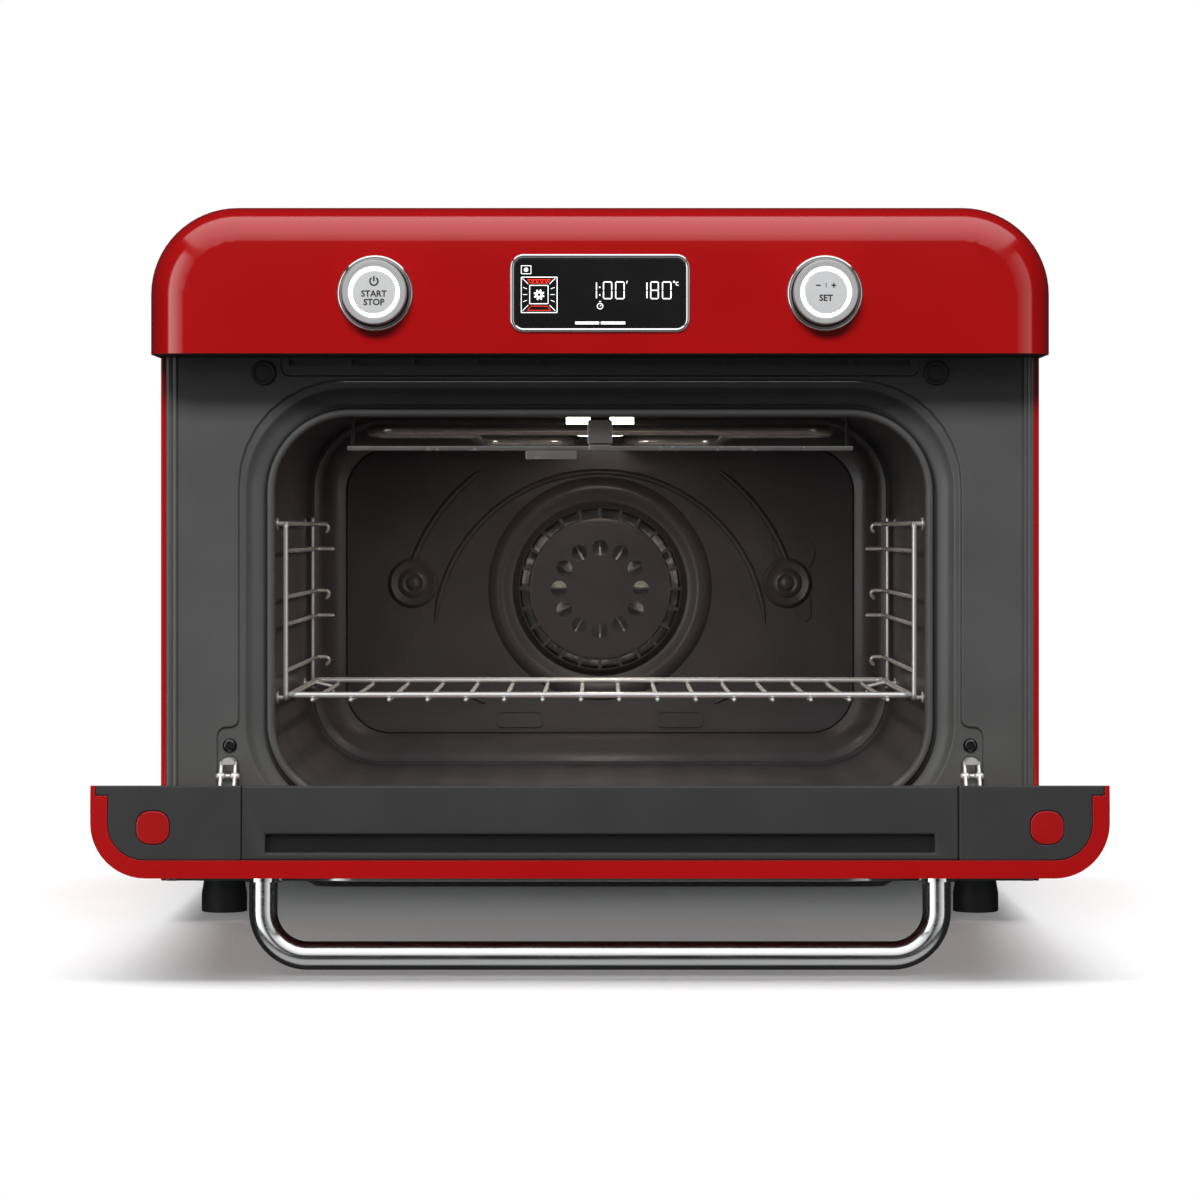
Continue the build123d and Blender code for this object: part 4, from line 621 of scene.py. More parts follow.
seal_rubber = moulded_plastic("grey silicone rubber", "#393939", "#3F3F3F", 0.5, 1.0, 0.01)
display_glass = moulded_plastic("black printed glass", "#1B1B1B", "#1E1E1E", 0.08, 20.0, 0.001, 0.7)
window_glass = see_through("smoked toughened glass", "#2B2D2F", 0.05, 1.5, 0.72)
lamp_glass = printed("warm lamp glass", "#FFF1DC", 10.0)
tank_clear = see_through("smoky clear plastic", "#9FB4BC", 0.12, 1.58, 0.45)
board_green = moulded_plastic("green solder mask", "#0E3A1E", "#135028", 0.35, 1.5, 0.02, 0.3)
wool = mineral_wool("mineral wool", "#A79F86", "#C9C2AA")
lit_white = printed("white display light", "#F4F6F8", 1.1)
lit_red = printed("red display light", "#E0301F", 1.0)
ring_light = printed("white light ring", "#FFFFFF", 1.0)
black_ink = printed("black ink", "#101012", 0.0)
left_spun = spun_metal("left knob spun aluminium", "#B8B9BA", "#D2D3D4", -dial_x, 0.22)
right_spun = spun_metal("right knob spun aluminium", "#B8B9BA", "#D2D3D4", dial_x, 0.22)


# Hood


def hood_outline(inset, y):
    """The hood's front-view outline from its lower left round to its lower right, drawn in by an inset."""
    half = hood_half - inset
    top = hood_high - inset
    r = hood_corner - inset
    points = [(-half, y, hood_low), (-half, y, hood_low + hood_lip), (-half, y, (hood_low + top - r) / 2)]
    for cx, start in ((-half + r, 180), (half - r, 90)):
        for k in range(17):
            a = math.radians(start - 90 * k / 16)
            points.append((cx + r * math.cos(a), y, top - r + r * math.sin(a)))
    points += [(half, y, (hood_low + top - r) / 2), (half, y, hood_low + hood_lip), (half, y, hood_low)]
    return points


def hood_shell():
    """Red hood pressed from sheet: one skin with rounded edges, and holes for the controls and the tank."""
    front = []
    for k in range(11):
        a = math.radians(9 * k)
        r = hood_front_round
        front.append((r * (1 - math.sin(a)), hood_front + r * (1 - math.cos(a))))
    rear = []
    for k in range(9):
        a = math.radians(90 * k / 8)
        r = hood_rear_round
        rear.append((r * (1 - math.cos(a)), hood_rear - r + r * math.sin(a)))
    stations = front + rear
    loops = [hood_outline(inset, y) for inset, y in stations]
    flat_start = len(front) - 1
    points, faces = skin(loops, closed=False)
    count = len(loops[0])
    roof = 3 + 16
    faces = [f for f in faces if not (f[0] // count == flat_start and f[0] % count == roof)]
    parts = [(points, faces)]
    half_flat = hood_half - hood_corner
    x, y, half_x, half_y, corner = tank_hole
    top_hole = [(px, py, hood_high) for px, py in rounded_loop(half_x, y - half_y, y + half_y, corner, x)]
    front_y = stations[flat_start][1]
    rear_y = stations[flat_start + 1][1]
    roof_edge = [(-half_flat, front_y, hood_high), (half_flat, front_y, hood_high),
                 (half_flat, rear_y, hood_high), (-half_flat, rear_y, hood_high)]
    parts.append(flat_region(roof_edge, [top_hole]))
    holes = [facing(rounded_loop(47.8, control_z - 20.05, control_z + 20.05, 6.5), hood_front),
             facing(ring_loop(19.5, -dial_x, control_z), hood_front),
             facing(ring_loop(19.5, dial_x, control_z), hood_front)]
    parts.append(flat_region(loops[0], holes))
    parts.append(flat_region(loops[-1], []))
    piece("hood_shell", parts, red_enamel, "case", "hood", wall=hood_wall, crease=40.0)


# Front frame


def recess_outline(inset):
    """Outline of the recess round the cavity mouth, with its wider pockets for the hinges."""
    side = recess_side - inset
    pocket = pocket_side - inset * pocket_wall_share
    half = [(side, recess_top - inset, recess_round - inset), (side, pocket_top - inset, 4.0 + inset),
            (pocket, pocket_top - inset, 6.0 - inset), (pocket, pocket_low + inset, 5.0 - inset)]
    return rounded_polygon(half + [(-x, z, r) for x, z, r in reversed(half)], 8)


def front_frame():
    """Enamelled front frame: flat plate, rolled outer rim, and a stepped recess round the mouth."""
    rim_top = hood_low - 0.3
    rim_profile = [(frame_half, 0.6), (frame_half - 0.2, -0.8), (frame_half - 1.4, -1.3),
                   (frame_half - 2.8, -1.3), (frame_half - 3.5, -0.5), (frame_half - 4.1, -1.2),
                   (frame_half - 5.7, -1.3), (plate_half, 0.0)]
    parts = []
    for side in (-1, 1):
        loops = [[(side * x, y, z) for z in (frame_low, rim_top)] for x, y in rim_profile]
        parts.append(skin(loops, closed=False))
    edge = [(-plate_half, 0, frame_low), (plate_half, 0, frame_low), (plate_half, 0, rim_top),
            (-plate_half, 0, rim_top)]
    outer = recess_outline(0.0)
    channel = rounded_loop(channel_half, channel_low, channel_high, 1.0, low_corner=channel_round)
    parts.append(flat_region(edge, [facing(outer, 0.0), facing(channel, 0.0)]))
    steps = [(0.0, 0.0), (0.3, 0.05), (0.8, 0.4), (1.1, 1.1), (1.5, recess_depth - 0.1),
             (recess_wall, recess_depth)]
    parts.append(skin([facing(recess_outline(inset), y) for inset, y in steps]))
    parts.append(recess_floor())
    floor_loop = rounded_loop(channel_half - 0.8, channel_low + 0.8, channel_high - 0.2, 0.8,
                              low_corner=channel_round - 0.8)
    parts.append(skin([facing(channel, 0.0), facing(floor_loop, channel_depth)]))
    slots = []
    pitch = 2 * slot_half / slot_count
    for index in range(slot_count):
        x = -slot_half + (index + 0.5) * pitch
        half = (pitch - slot_divider) / 2
        slots.append(facing(rounded_loop(half, slot_low, slot_high, 0.6, x, 2), channel_depth))
    parts.append(flat_region(facing(floor_loop, channel_depth), slots))
    for slot in slots:
        back = [(x, 6.0, z) for x, y, z in slot]
        parts.append(skin([slot, back], last_cap=True))
    parts.append(mouth_skin())
    piece("front_frame_enamel", parts, frame_enamel, "case", "front_frame")


def mouth_rings():
    """Rings from the recess floor down to the seal's groove and over the mouth's lip, as (growth, y)."""
    return [(17.0, recess_depth), (16.4, 1.75), (15.6, 2.4), (14.2, 3.7), (12.2, 5.1), (9.6, 6.2), (7.6, 6.8),
            (6.6, 7.0), (6.4, groove_depth), (4.7, groove_depth), (4.5, 2.0), (4.0, 1.1), (3.1, 0.6),
            (1.9, 0.6), (0.9, 1.1), (0.2, 2.2), (0.0, 4.6)]


def mouth_loop(growth, y):
    """The mouth's outline, grown outwards, at one depth."""
    return facing(rounded_loop(opening_half + growth, opening_low - growth, opening_high + growth,
                               opening_round + growth, steps=14), y)


def mouth_skin():
    """Skin through the mouth's rings."""
    return skin([mouth_loop(growth, y) for growth, y in mouth_rings()])


def recess_floor():
    """Flat floor of the recess with the slots for the hinge arms."""
    holes = [mouth_loop(*mouth_rings()[0])]
    for side in (-1, 1):
        holes.append(facing(rounded_loop(4.9, 68.0, 92.3, 4.6, side * arm_x, 6, 1.0), recess_depth))
    return flat_region(facing(recess_outline(recess_wall), recess_depth), holes)


# Cavity


def cavity_skin():
    """Deep-drawn enamelled tub, with the pressed step and seam before its back."""
    rings = [(opening_half, opening_low, opening_high, opening_round, 4.4),
             (opening_half + 0.6, opening_low - 0.2, opening_high + 2.5, 43.0, 5.2),
             (183.0, 69.0, 288.6, 46.0, 8.0), (183.0, 69.5, 289.0, 46.0, 150.0),
             (183.0, 69.5, 289.0, 46.0, 291.0), (182.2, 70.3, 288.2, 45.2, 295.2),
             (181.2, 71.3, 287.3, 44.4, 296.2), (180.4, 72.2, 286.7, 43.6, 296.0),
             (178.4, 74.2, 285.2, 41.8, 297.0), (176.2, 76.8, 283.8, 39.6, 298.2),
             (174.8, 78.2, 282.8, 38.2, 299.6), (174.0, 79.0, 282.0, 37.4, 301.2),
             (172.0, 80.6, 280.0, 35.6, 303.8), (168.5, 83.5, 276.6, 33.0, 306.8),
             (164.5, 86.6, 273.0, 30.4, 308.8), (161.4, 88.6, 270.4, 28.4, 309.6),
             (160.8, 89.2, 269.8, 28.0, 310.6), (160.2, 89.8, 269.2, 27.6, 309.4)]
    loops = [facing(rounded_loop(half, low, high, corner, steps=14), y)
             for half, low, high, corner, y in rings]
    return skin(loops), loops[-1]


def arc_band(radius, cx, cz, start, end, width, rise, wall_y, steps=24):
    """A rounded rib pressed along an arc of the back wall."""
    loops = []
    for k in range(steps + 1):
        a = math.radians(start + (end - start) * k / steps)
        taper = min(1.0, k / 3, (steps - k) / 3)
        taper = math.sqrt(max(taper, 0.0))
        ring = []
        for m in range(9):
            t = m / 8
            offset = (t - 0.5) * width * max(taper, 0.05)
            lift = rise * taper * math.sin(math.pi * t)
            r = radius + offset
            ring.append((cx + r * math.cos(a), wall_y - lift, cz + r * math.sin(a)))
        loops.append(ring)
    return skin(loops, closed=False)


def straight_band(x0, z0, x1, z1, width, rise, wall_y):
    """A short straight rib on the back wall."""
    loops = []
    steps = 10
    way = Vector((x1 - x0, z1 - z0)).normalized()
    across = Vector((-way.y, way.x))
    for k in range(steps + 1):
        f = k / steps
        taper = math.sqrt(max(min(1.0, k / 2, (steps - k) / 2), 0.0))
        ring = []
        for m in range(9):
            t = m / 8
            offset = across * ((t - 0.5) * width * max(taper, 0.05))
            ring.append((x0 + (x1 - x0) * f + offset.x, wall_y - rise * taper * math.sin(math.pi * t),
                         z0 + (z1 - z0) * f + offset.y))
        loops.append(ring)
    return skin(loops, closed=False)


def cavity():
    """The cavity's tub with the pressed bands, bosses and seams of its back wall."""
    tub, last = cavity_skin()
    wall_y = cavity_rear
    fan_ring = ring_loop(71.0, 0.0, fan_z, 96)
    parts = [tub, flat_region(last, [facing(fan_ring, wall_y)])]
    parts.append(skin([facing(fan_ring, wall_y), facing(ring_loop(68.0, 0.0, fan_z, 96), wall_y + 1.2),
                       facing(ring_loop(60.0, 0.0, fan_z, 96), wall_y + 1.8)]))
    parts.append(arc_band(105.0, 0.0, 150.0, 4, 176, 4.0, 1.4, wall_y, 60))
    for side in (-1, 1):
        start = 90 - side * 36
        end = 90 - side * 74
        parts.append(arc_band(126.7, 0.0, 154.0, start, end, 4.5, 1.8, wall_y))
        parts.append(straight_band(side * 72, 108, side * 84, 114, 3.0, 1.2, wall_y))
        boss = [(16.0, wall_y), (15.0, wall_y - 1.5), (13.6, wall_y - 2.2), (12.4, wall_y - 1.6),
                (9.6, wall_y - 1.0), (8.2, wall_y - 2.0), (6.4, wall_y - 2.6), (4.6, wall_y - 1.8),
                (3.4, wall_y - 2.8), (0.8, wall_y - 3.2)]
        parts.append(turned(boss, 40, side * 118.7, 184.4))
        tab = rounded_loop(14.8, 93.0, 103.8, 3.4, side * 50.6, 5)
        inner = rounded_loop(13.4, 94.4, 102.4, 2.4, side * 50.6, 5)
        parts.append(skin([facing(tab, wall_y - 0.1), facing(tab, wall_y - 1.0), facing(inner, wall_y - 1.0),
                           facing(inner, wall_y - 0.3)], last_cap=True))
    wedge = [(107.5, 213.2, 2.0), (130.9, 213.2, 4.0), (135.9, 207.5, 3.0), (135.9, 199.5, 3.0),
             (133.0, 196.0, 3.0), (133.7, 163.0, 2.5), (130.5, 159.6, 2.5), (125.5, 164.0, 3.0)]
    inner_wedge = [(x * 0.985 + 1.7, z * 0.985 + 2.8, r * 0.8) for x, z, r in wedge]
    outer_loop = rounded_polygon(wedge, 4)
    inner_loop = rounded_polygon(inner_wedge, 4)
    parts.append(skin([facing(outer_loop, wall_y - 0.1), facing(outer_loop, wall_y - 1.0),
                       facing(inner_loop, wall_y - 1.0), facing(inner_loop, wall_y - 0.2)], last_cap=True))
    piece("cavity_enamel_tub", parts, cavity_enamel, "case", "cavity_liner", crease=38.0)


def door_seal():
    """Ribbed silicone seal in the groove round the mouth."""
    low = groove_depth - 0.2
    rings = [(6.3, low), (6.3, 4.4), (6.0, 3.6), (5.7, 3.5), (5.5, 4.0), (5.3, 3.5), (5.1, 3.4), (4.8, 4.2),
             (4.8, low), (6.3, low)]
    piece("door_seal_rubber", [skin([mouth_loop(growth, y) for growth, y in rings])], seal_rubber, "case",
          "door_seal", crease=60.0)


# Repeats


def repeat_tree(name, ring):
    """Geometry Nodes that repeat a mesh along a row, or round an axis along y."""
    tree = bpy.data.node_groups.new(name, "GeometryNodeTree")
    tree.is_modifier = True
    sockets = [("Shape", "NodeSocketGeometry"), ("Count", "NodeSocketInt"), ("Start", "NodeSocketVector"),
               ("Step", "NodeSocketVector"), ("Turn", "NodeSocketFloat"), ("Finish", "NodeSocketMaterial")]
    for label, kind in sockets:
        tree.interface.new_socket(label, in_out="INPUT", socket_type=kind)
    tree.interface.new_socket("Shape", in_out="OUTPUT", socket_type="NodeSocketGeometry")
    inlet = add(tree, "NodeGroupInput").outputs
    outlet = add(tree, "NodeGroupOutput")
    line = add(tree, "GeometryNodeMeshLine", {"Count": inlet["Count"], "Start Location": inlet["Start"],
                                              "Offset": inlet["Step"]}, mode="OFFSET")
    copies = add(tree, "GeometryNodeInstanceOnPoints", {"Points": line.outputs[0],
                                                        "Instance": inlet["Shape"]})
    if ring:
        number = add(tree, "GeometryNodeInputIndex").outputs[0]
        angle = add(tree, "ShaderNodeMath", {0: number, 1: inlet["Turn"]}, operation="MULTIPLY").outputs[0]
        turn = add(tree, "ShaderNodeCombineXYZ", {"Y": angle}).outputs[0]
        tree.links.new(turn, copies.inputs["Rotation"])
    solid = add(tree, "GeometryNodeRealizeInstances", {"Geometry": copies.outputs[0]})
    coloured = add(tree, "GeometryNodeSetMaterial", {"Geometry": solid.outputs[0],
                                                     "Material": inlet["Finish"]})
    tree.links.new(coloured.outputs[0], outlet.inputs[0])
    return tree


row_tree = repeat_tree("repeat in a row", False)
ring_tree = repeat_tree("repeat round an axis", True)


def repeated(tree, part, finish, count, start=(0.0, 0.0, 0.0), step=(0.0, 0.0, 0.0), turn=0.0):
    """Points and faces, in metres, of a skin repeated by a Geometry Nodes tree."""
    mesh = bpy.data.meshes.new("repeat")
    mesh.from_pydata([Vector(p) * MM for p in part[0]], [], part[1])
    thing = new_thing("repeat", mesh)
    repeat = thing.modifiers.new("repeat", "NODES")
    repeat.node_group = tree
    values = {"Count": count, "Start": tuple(v * MM for v in start), "Step": tuple(v * MM for v in step),
              "Turn": turn, "Finish": finish}
    for socket in tree.interface.items_tree:
        if socket.in_out == "INPUT" and socket.name in values:
            repeat[socket.identifier] = values[socket.name]
    settle(thing)
    points = [tuple(v.co / MM) for v in thing.data.vertices]
    faces = [tuple(f.vertices) for f in thing.data.polygons]
    bpy.data.objects.remove(thing)
    return points, faces


# Wires and heaters

rack_x = 177.3
rack_radius = 1.4
rack_front = 23.0
rack_rear = 268.0
rack_lowest = 123.2
rack_pitch = 41.6
rack_pair_gap = 15.5
rung_end_y = 274.0
rung_inward = 10.0
shelf_half = 175.0
shelf_front = 20.0
shelf_rear = 247.0
shelf_z = 125.3
shelf_wire = 1.75
shelf_bar = 1.3
shelf_bend = 4.5
shelf_bar_z = 122.6
shelf_bar_count = 16
shelf_bar_pitch = 21.6


def side_rack_right():
    """Right rack: a bent outer wire, paired rungs with inward rear ends, a rear upright and wall pins."""
    top = rack_lowest + 2 * rack_pitch + rack_pair_gap
    parts = []
    loop = [(rack_x - rung_inward, rung_end_y, rack_lowest), (rack_x, rung_end_y, rack_lowest),
            (rack_x, rack_front, rack_lowest), (rack_x, rack_front, top), (rack_x, rung_end_y, top),
            (rack_x - rung_inward, rung_end_y, top),
            (rack_x - rung_inward + 4.0, rung_end_y + 1.0, top - 4.5)]
    parts.append(wire(bent_path(loop, 2.4, 5), rack_radius))
    rung = [(rack_x, rack_front, 0.0), (rack_x, rung_end_y, 0.0), (rack_x - rung_inward, rung_end_y, 0.0)]
    hooked = rung + [(rack_x - rung_inward + 4.0, rung_end_y + 1.0, -4.5)]
    low = wire(bent_path(rung, 2.4, 5), rack_radius * 0.9, 10)
    high = wire(bent_path(hooked, 2.0, 5), rack_radius * 0.9, 10)
    parts.append(repeated(row_tree, low, steel_wire, 2, (0, 0, rack_lowest + rack_pitch), (0, 0, rack_pitch)))
    parts.append(repeated(row_tree, high, steel_wire, 2, (0, 0, rack_lowest + rack_pair_gap),
                          (0, 0, rack_pitch)))
    parts.append(wire([(rack_x + 2.3, rack_rear, rack_lowest - 3), (rack_x + 2.3, rack_rear, top + 3)],
                      rack_radius))
    for y in (35.0, 248.0):
        for z in (rack_lowest, top):
            parts.append(wire([(rack_x, y, z), (183.4, y, z)], rack_radius, 10, False))
            points, faces = turned([(3.6, 0.0), (3.4, 0.8), (0.8, 1.0)], 20)
            parts.append(([(183.0 - py, y + px, z + pz) for px, py, pz in points], faces))
    return parts


def side_racks():
    """Both wire racks."""
    piece("side_rack_wires", both_sides(side_rack_right()), steel_wire, "case",
          "side_racks")


def wire_shelf():
    """Chromed wire shelf: a bent frame wire, lengthwise bars and two anti-tip hooks."""
    middle = (shelf_front + shelf_rear) / 2
    parts = []
    for end in (shelf_front + shelf_wire, shelf_rear - shelf_wire):
        half_frame = [(shelf_half, middle, shelf_z), (shelf_half, end, shelf_z), (-shelf_half, end, shelf_z),
                      (-shelf_half, middle, shelf_z)]
        parts.append(wire(bent_path(half_frame, shelf_bend, 8), shelf_wire, 14, False))
    x = -(shelf_bar_count - 1) / 2 * shelf_bar_pitch
    bar = wire([(x, shelf_front - 1.2, shelf_bar_z), (x, shelf_rear + 1.2, shelf_bar_z)], shelf_bar, 10)
    parts.append(repeated(row_tree, bar, steel_wire, shelf_bar_count, step=(shelf_bar_pitch, 0, 0)))
    for side in (-1, 1):
        hook = [(side * (shelf_half - 1), 210.0, shelf_z), (side * 163.0, 210.0, shelf_z - 2.6),
                (side * 163.0, 210.0, shelf_z - 8.5)]
        parts.append(wire(bent_path(hook, 1.2, 4), 1.1, 8))
    piece("wire_shelf_chromed", parts, steel_wire, "shelf", "wire_shelf")


def grill():
    """Upper heater: one bent tube below the ceiling, a little lower towards the rear."""
    side = [(17.0, 312.0, 272.0), (17.0, 226.0, 272.5), (74.5, 226.0, 272.5), (74.5, 104.0, 275.0),
            (132.0, 104.0, 275.0), (132.0, 70.0, 276.0)]
    points = side + [(-x, y, z) for x, y, z in reversed(side)]
    piece("grill_heater_tube", [wire(bent_path(points, 13.0, 8), 3.3, 16)], heater_skin, "case",
          "grill_element")


def grill_bracket():
    """Bright bar under the grill with its clip, a small tab and dark hangers at its ends."""
    bar_y = 44.0
    bar_low = 263.6
    bar_top = 265.6
    half_bar = 144.0
    bright = [slab(-half_bar, half_bar, bar_y, bar_y + 10.0, bar_low, bar_top),
              slab(-half_bar, half_bar, bar_y, bar_y + 1.0, bar_top, bar_top + 0.6),
              slab(-42.2, -13.4, bar_y + 1.0, bar_y + 2.2, bar_low - 5.0, bar_low),
              slab(-7.0, 7.0, bar_y, bar_y + 2.4, 267.6, 281.0),
              slab(-6.2, 6.2, bar_y - 0.4, bar_y + 1.0, bar_low, 267.0)]
    piece("grill_bar_and_clip", bright, stamped_steel, "case", "grill_bracket", bevel=0.5,
          crease=cad_crease)
    dark = [slab(-5.6, 5.6, bar_y + 2.4, bar_y + 12.0, 266.0, cavity_ceiling)]
    for side in (-1, 1):
        dark.append(slab(side * 141.0 - 1.0, side * 141.0 + 1.0, bar_y + 3.0, bar_y + 7.0, bar_top,
                         cavity_ceiling))
    piece("grill_bar_hangers", dark, cavity_enamel, "case", bevel=0.3, crease=cad_crease)


def cap_slot():
    """Near-black sheet on the floor of the long slot in the door's centre cap: painted shade that darkens the
    slot.
    """
    low = cap_face - cap_slot_depth
    floor = slab(-cap_slot_half, cap_slot_half, door_inside - cap_slot_far, door_inside - cap_slot_near,
                 low, low + 0.4)
    piece("cap_slot_painted_shade", [floor], painted_slot_shade, "door", place=on_door, bevel=0.1,
          crease=cad_crease)


def door_handle():
    """Round steel tube handle bent back to its two posts."""
    y = -86.0
    z = 287.0
    x = 165.2
    points = [(-x, -50.0, z), (-x, y, z), (x, y, z), (x, -50.0, z)]
    piece("door_handle_tube", [wire(bent_path(points, 22.0, 20), 7.0, 40, False)], handle_steel, "door",
          "door_handle", place=on_door)


def hinge_arm_right():
    """Right hinge arm: two side plates with rounded edges and knuckles, a domed bridge and its bracket."""
    outline = [(-38.3, 51.3), (-7.0, 89.0), (30.0, 89.0), (30.0, 74.0), (3.0, 74.0), (-27.7, 40.7)]
    knuckle_y = -11.0
    knuckle_z = 81.5
    plate = 1.2
    half = 4.5
    parts = []
    for side in (-1, 1):
        outer = arm_x + side * half
        inner = outer - side * plate
        parts.append(skin([[(x, y, z) for y, z in outline] for x in (outer, inner)], first_cap=True,
                          last_cap=True))
        middle = (outer + inner) / 2
        edge = [(middle, -7.0, 88.5), (middle, knuckle_y, knuckle_z), (middle, -38.0, 50.0)]
        parts.append(wire(bent_path(edge, 2.0, 4), 1.1, 10))
        parts.append(wire([(middle - 0.9, knuckle_y, knuckle_z), (middle + 0.9, knuckle_y, knuckle_z)],
                          2.0, 14))
    parts.append(wire([(arm_x - half, knuckle_y + 1, knuckle_z), (arm_x + half, knuckle_y + 1, knuckle_z)],
                      1.3, 12))
    parts.append(wire([(arm_x - half, door_hinge_y, door_hinge_z),
                       (arm_x + half, door_hinge_y, door_hinge_z)], 7.0, 32, False))
    arch = [(half * math.cos(math.pi * k / 12), 87.8 + 4.0 * math.sin(math.pi * k / 12)) for k in range(13)]
    dome = []
    for y, share in ((-9.0, 0.82), (-8.4, 0.94), (-7.2, 1.0), (9.0, 1.0)):
        dome.append([(arm_x + x * share, y, 87.8 + (z - 87.8) * share) for x, z in arch])
    parts.append(skin(dome, first_cap=True, last_cap=True))
    parts.append(slab(arm_x - 12.0, arm_x + 12.0, 8.8, 10.3, 60.0, 110.0))
    return parts


def hinge_arms():
    """Both hinge arms."""
    piece("hinge_arm_pressings", both_sides(hinge_arm_right()), stamped_steel, "case",
          "hinge_arms", crease=40.0)


def oven_lamp():
    """Glowing lamp glass that hangs from the cavity's ceiling."""
    profile = [(19.8, -1.0), (19.8, 9.0), (19.2, 12.0), (17.2, 14.2), (13.0, 15.4), (6.0, 15.9), (0.6, 16.0)]
    points, faces = turned(profile, 48)
    dome = ([(x, lamp_y + z, cavity_ceiling - drop) for x, drop, z in points], faces)
    piece("oven_lamp_glass", [dome], lamp_glass, "case", "lamp_lens")


# Screws, bumpers and the fan guard


def cross_screw(radius, rise):
    """Domed screw head with a cross recess, facing the front about the origin."""
    dome = [(radius, 0.0), (radius, -rise * 0.35), (radius * 0.93, -rise * 0.62),
            (radius * 0.8, -rise * 0.85), (radius * 0.66, -rise)]
    loops = [facing(ring_loop(r, steps=32), y) for r, y in dome]
    arm = radius * 0.52
    half = radius * 0.13
    cross = [(arm, -half), (arm, half), (half, half), (half, arm), (-half, arm), (-half, half), (-arm, half),
             (-arm, -half), (-half, -half), (-half, -arm), (half, -arm), (half, -half)]
    return [skin(loops), flat_region(loops[-1], [facing(cross, -rise)]),
            skin([facing(cross, -rise), facing([(x * 0.6, z * 0.6) for x, z in cross], -rise * 0.4)],
                 last_cap=True)]


def moved(part, x, y, z, turn):
    """A skin built about the origin, turned about y and moved to its place."""
    c = math.cos(math.radians(turn))
    s = math.sin(math.radians(turn))
    points, faces = part
    return [(x + c * px + s * pz, y + py, z - s * px + c * pz) for px, py, pz in points], faces


def front_screws():
    """Black cross-head screws of the hinges and the fan guard."""
    parts = []
    for side in (-1, 1):
        parts += [moved(part, side * arm_x, recess_depth, 98.0, 20 * side) for part in cross_screw(4.0, 2.4)]
    for k in range(4):
        a = math.radians(45 + 90 * k)
        parts += [moved(part, 65.0 * math.cos(a), 309.0, fan_z + 65.0 * math.sin(a), 30 * k)
                  for part in cross_screw(3.2, 1.9)]
    piece("cross_head_screws", parts, black_chrome, "case", "front_screws", crease=35.0)


def door_bumpers():
    """Round rubber bumpers with a raised rim and a dished middle."""
    profile = [(7.0, 0.2), (7.0, -1.6), (6.6, -2.3), (6.0, -2.6), (5.2, -2.5), (4.9, -2.0), (4.4, -1.9),
               (4.0, -2.2), (0.6, -2.4)]
    piece("door_bumper_rubbers", both_sides([turned(profile, 48, 187.8, 306.0)]), rubber, "case",
          "door_bumpers", crease=cad_crease)


def fan_guard():
    """Dished fan guard: a rolled rim, a ring of radial ribs and a domed middle with round holes."""
    wall_y = cavity_rear
    outer = [(71.0, wall_y), (69.5, 308.0), (66.5, 306.6), (63.5, 306.0), (61.0, 306.6), (58.0, 308.4),
             (55.5, 308.8), (53.5, 307.2), (52.4, 305.2), (51.2, 304.6), (50.6, 305.4)]
    parts = [turned(outer, 96, 0.0, fan_z, False)]
    middle = [(45.2, 305.6), (44.6, 304.8), (42.5, 304.4)]
    loops = [facing(ring_loop(r, 0.0, fan_z, 96), y) for r, y in middle]
    parts.append(skin(loops))
    holes = [facing(ring_loop(5.0, x, z, 20), 304.4) for x, z in ring_loop(26.0, 0.0, fan_z, 12)]
    parts.append(flat_region(loops[-1], holes))
    for hole in holes:
        parts.append(skin([hole, [(x, y + 1.2, z) for x, y, z in hole]]))
    rib = slab(-1.0, 1.0, 304.9, 306.4, 44.6, 51.4)
    parts.append(repeated(ring_tree, rib, cavity_enamel, 24, (0, 0, fan_z), turn=math.radians(15)))
    piece("fan_guard_enamel", parts, cavity_enamel, "case", "fan_cover", crease=40.0)


# Display and knobs


def display_skin(rings, capped):
    """Skin through rings about the display, given as (inset, y)."""
    half = 49.2
    rise = 21.45
    corner = 7.5
    return skin([facing(rounded_loop(half - inset, control_z - rise + inset, control_z + rise - inset,
                                     corner - inset, steps=12), y) for inset, y in rings], last_cap=capped)


def display():
    """Chrome bezel and black glass."""
    rings = [(0.0, hood_front), (0.0, hood_front - 0.9), (0.25, hood_front - 1.35), (0.7, hood_front - 1.6),
             (1.5, hood_front - 1.6), (2.1, hood_front - 1.35), (2.4, hood_front - 0.9),
             (2.5, hood_front - 0.3), (2.5, hood_front + 0.8)]
    piece("display_bezel_chrome", [display_skin(rings, False)], chrome, "case", "display_bezel",
          crease=60.0)
    glass_rings = [(2.55, hood_front + 0.8), (2.55, hood_front - 1.15), (2.8, hood_front - 1.3)]
    piece("display_glass_panel", [display_skin(glass_rings, True)], display_glass, "case",
          "display_glass", crease=60.0)


# Seven-segment strokes by name, from one corner of a digit's box to another.
segment_places = {"a": ((0, 1), (1, 1)), "b": ((1, 0.5), (1, 1)), "c": ((1, 0), (1, 0.5)),
                  "d": ((0, 0), (1, 0)), "e": ((0, 0), (0, 0.5)), "f": ((0, 0.5), (0, 1)),
                  "g": ((0, 0.5), (1, 0.5))}
digit_segments = {"0": "abcdef", "1": "bc", "8": "abcdefg"}
digit_top = 282.0
digit_foot = 298.7
mark_y = hood_front - 1.42
mark_width = 0.62
thin_mark = 0.42


def mark_x(px):
    """Place along x of a photo column on the display's face."""
    return (px - mark_centre) / mark_scale


def mark_z(py):
    """Height of a photo row on the display's face."""
    return mark_level_z - (py - mark_level) / mark_scale


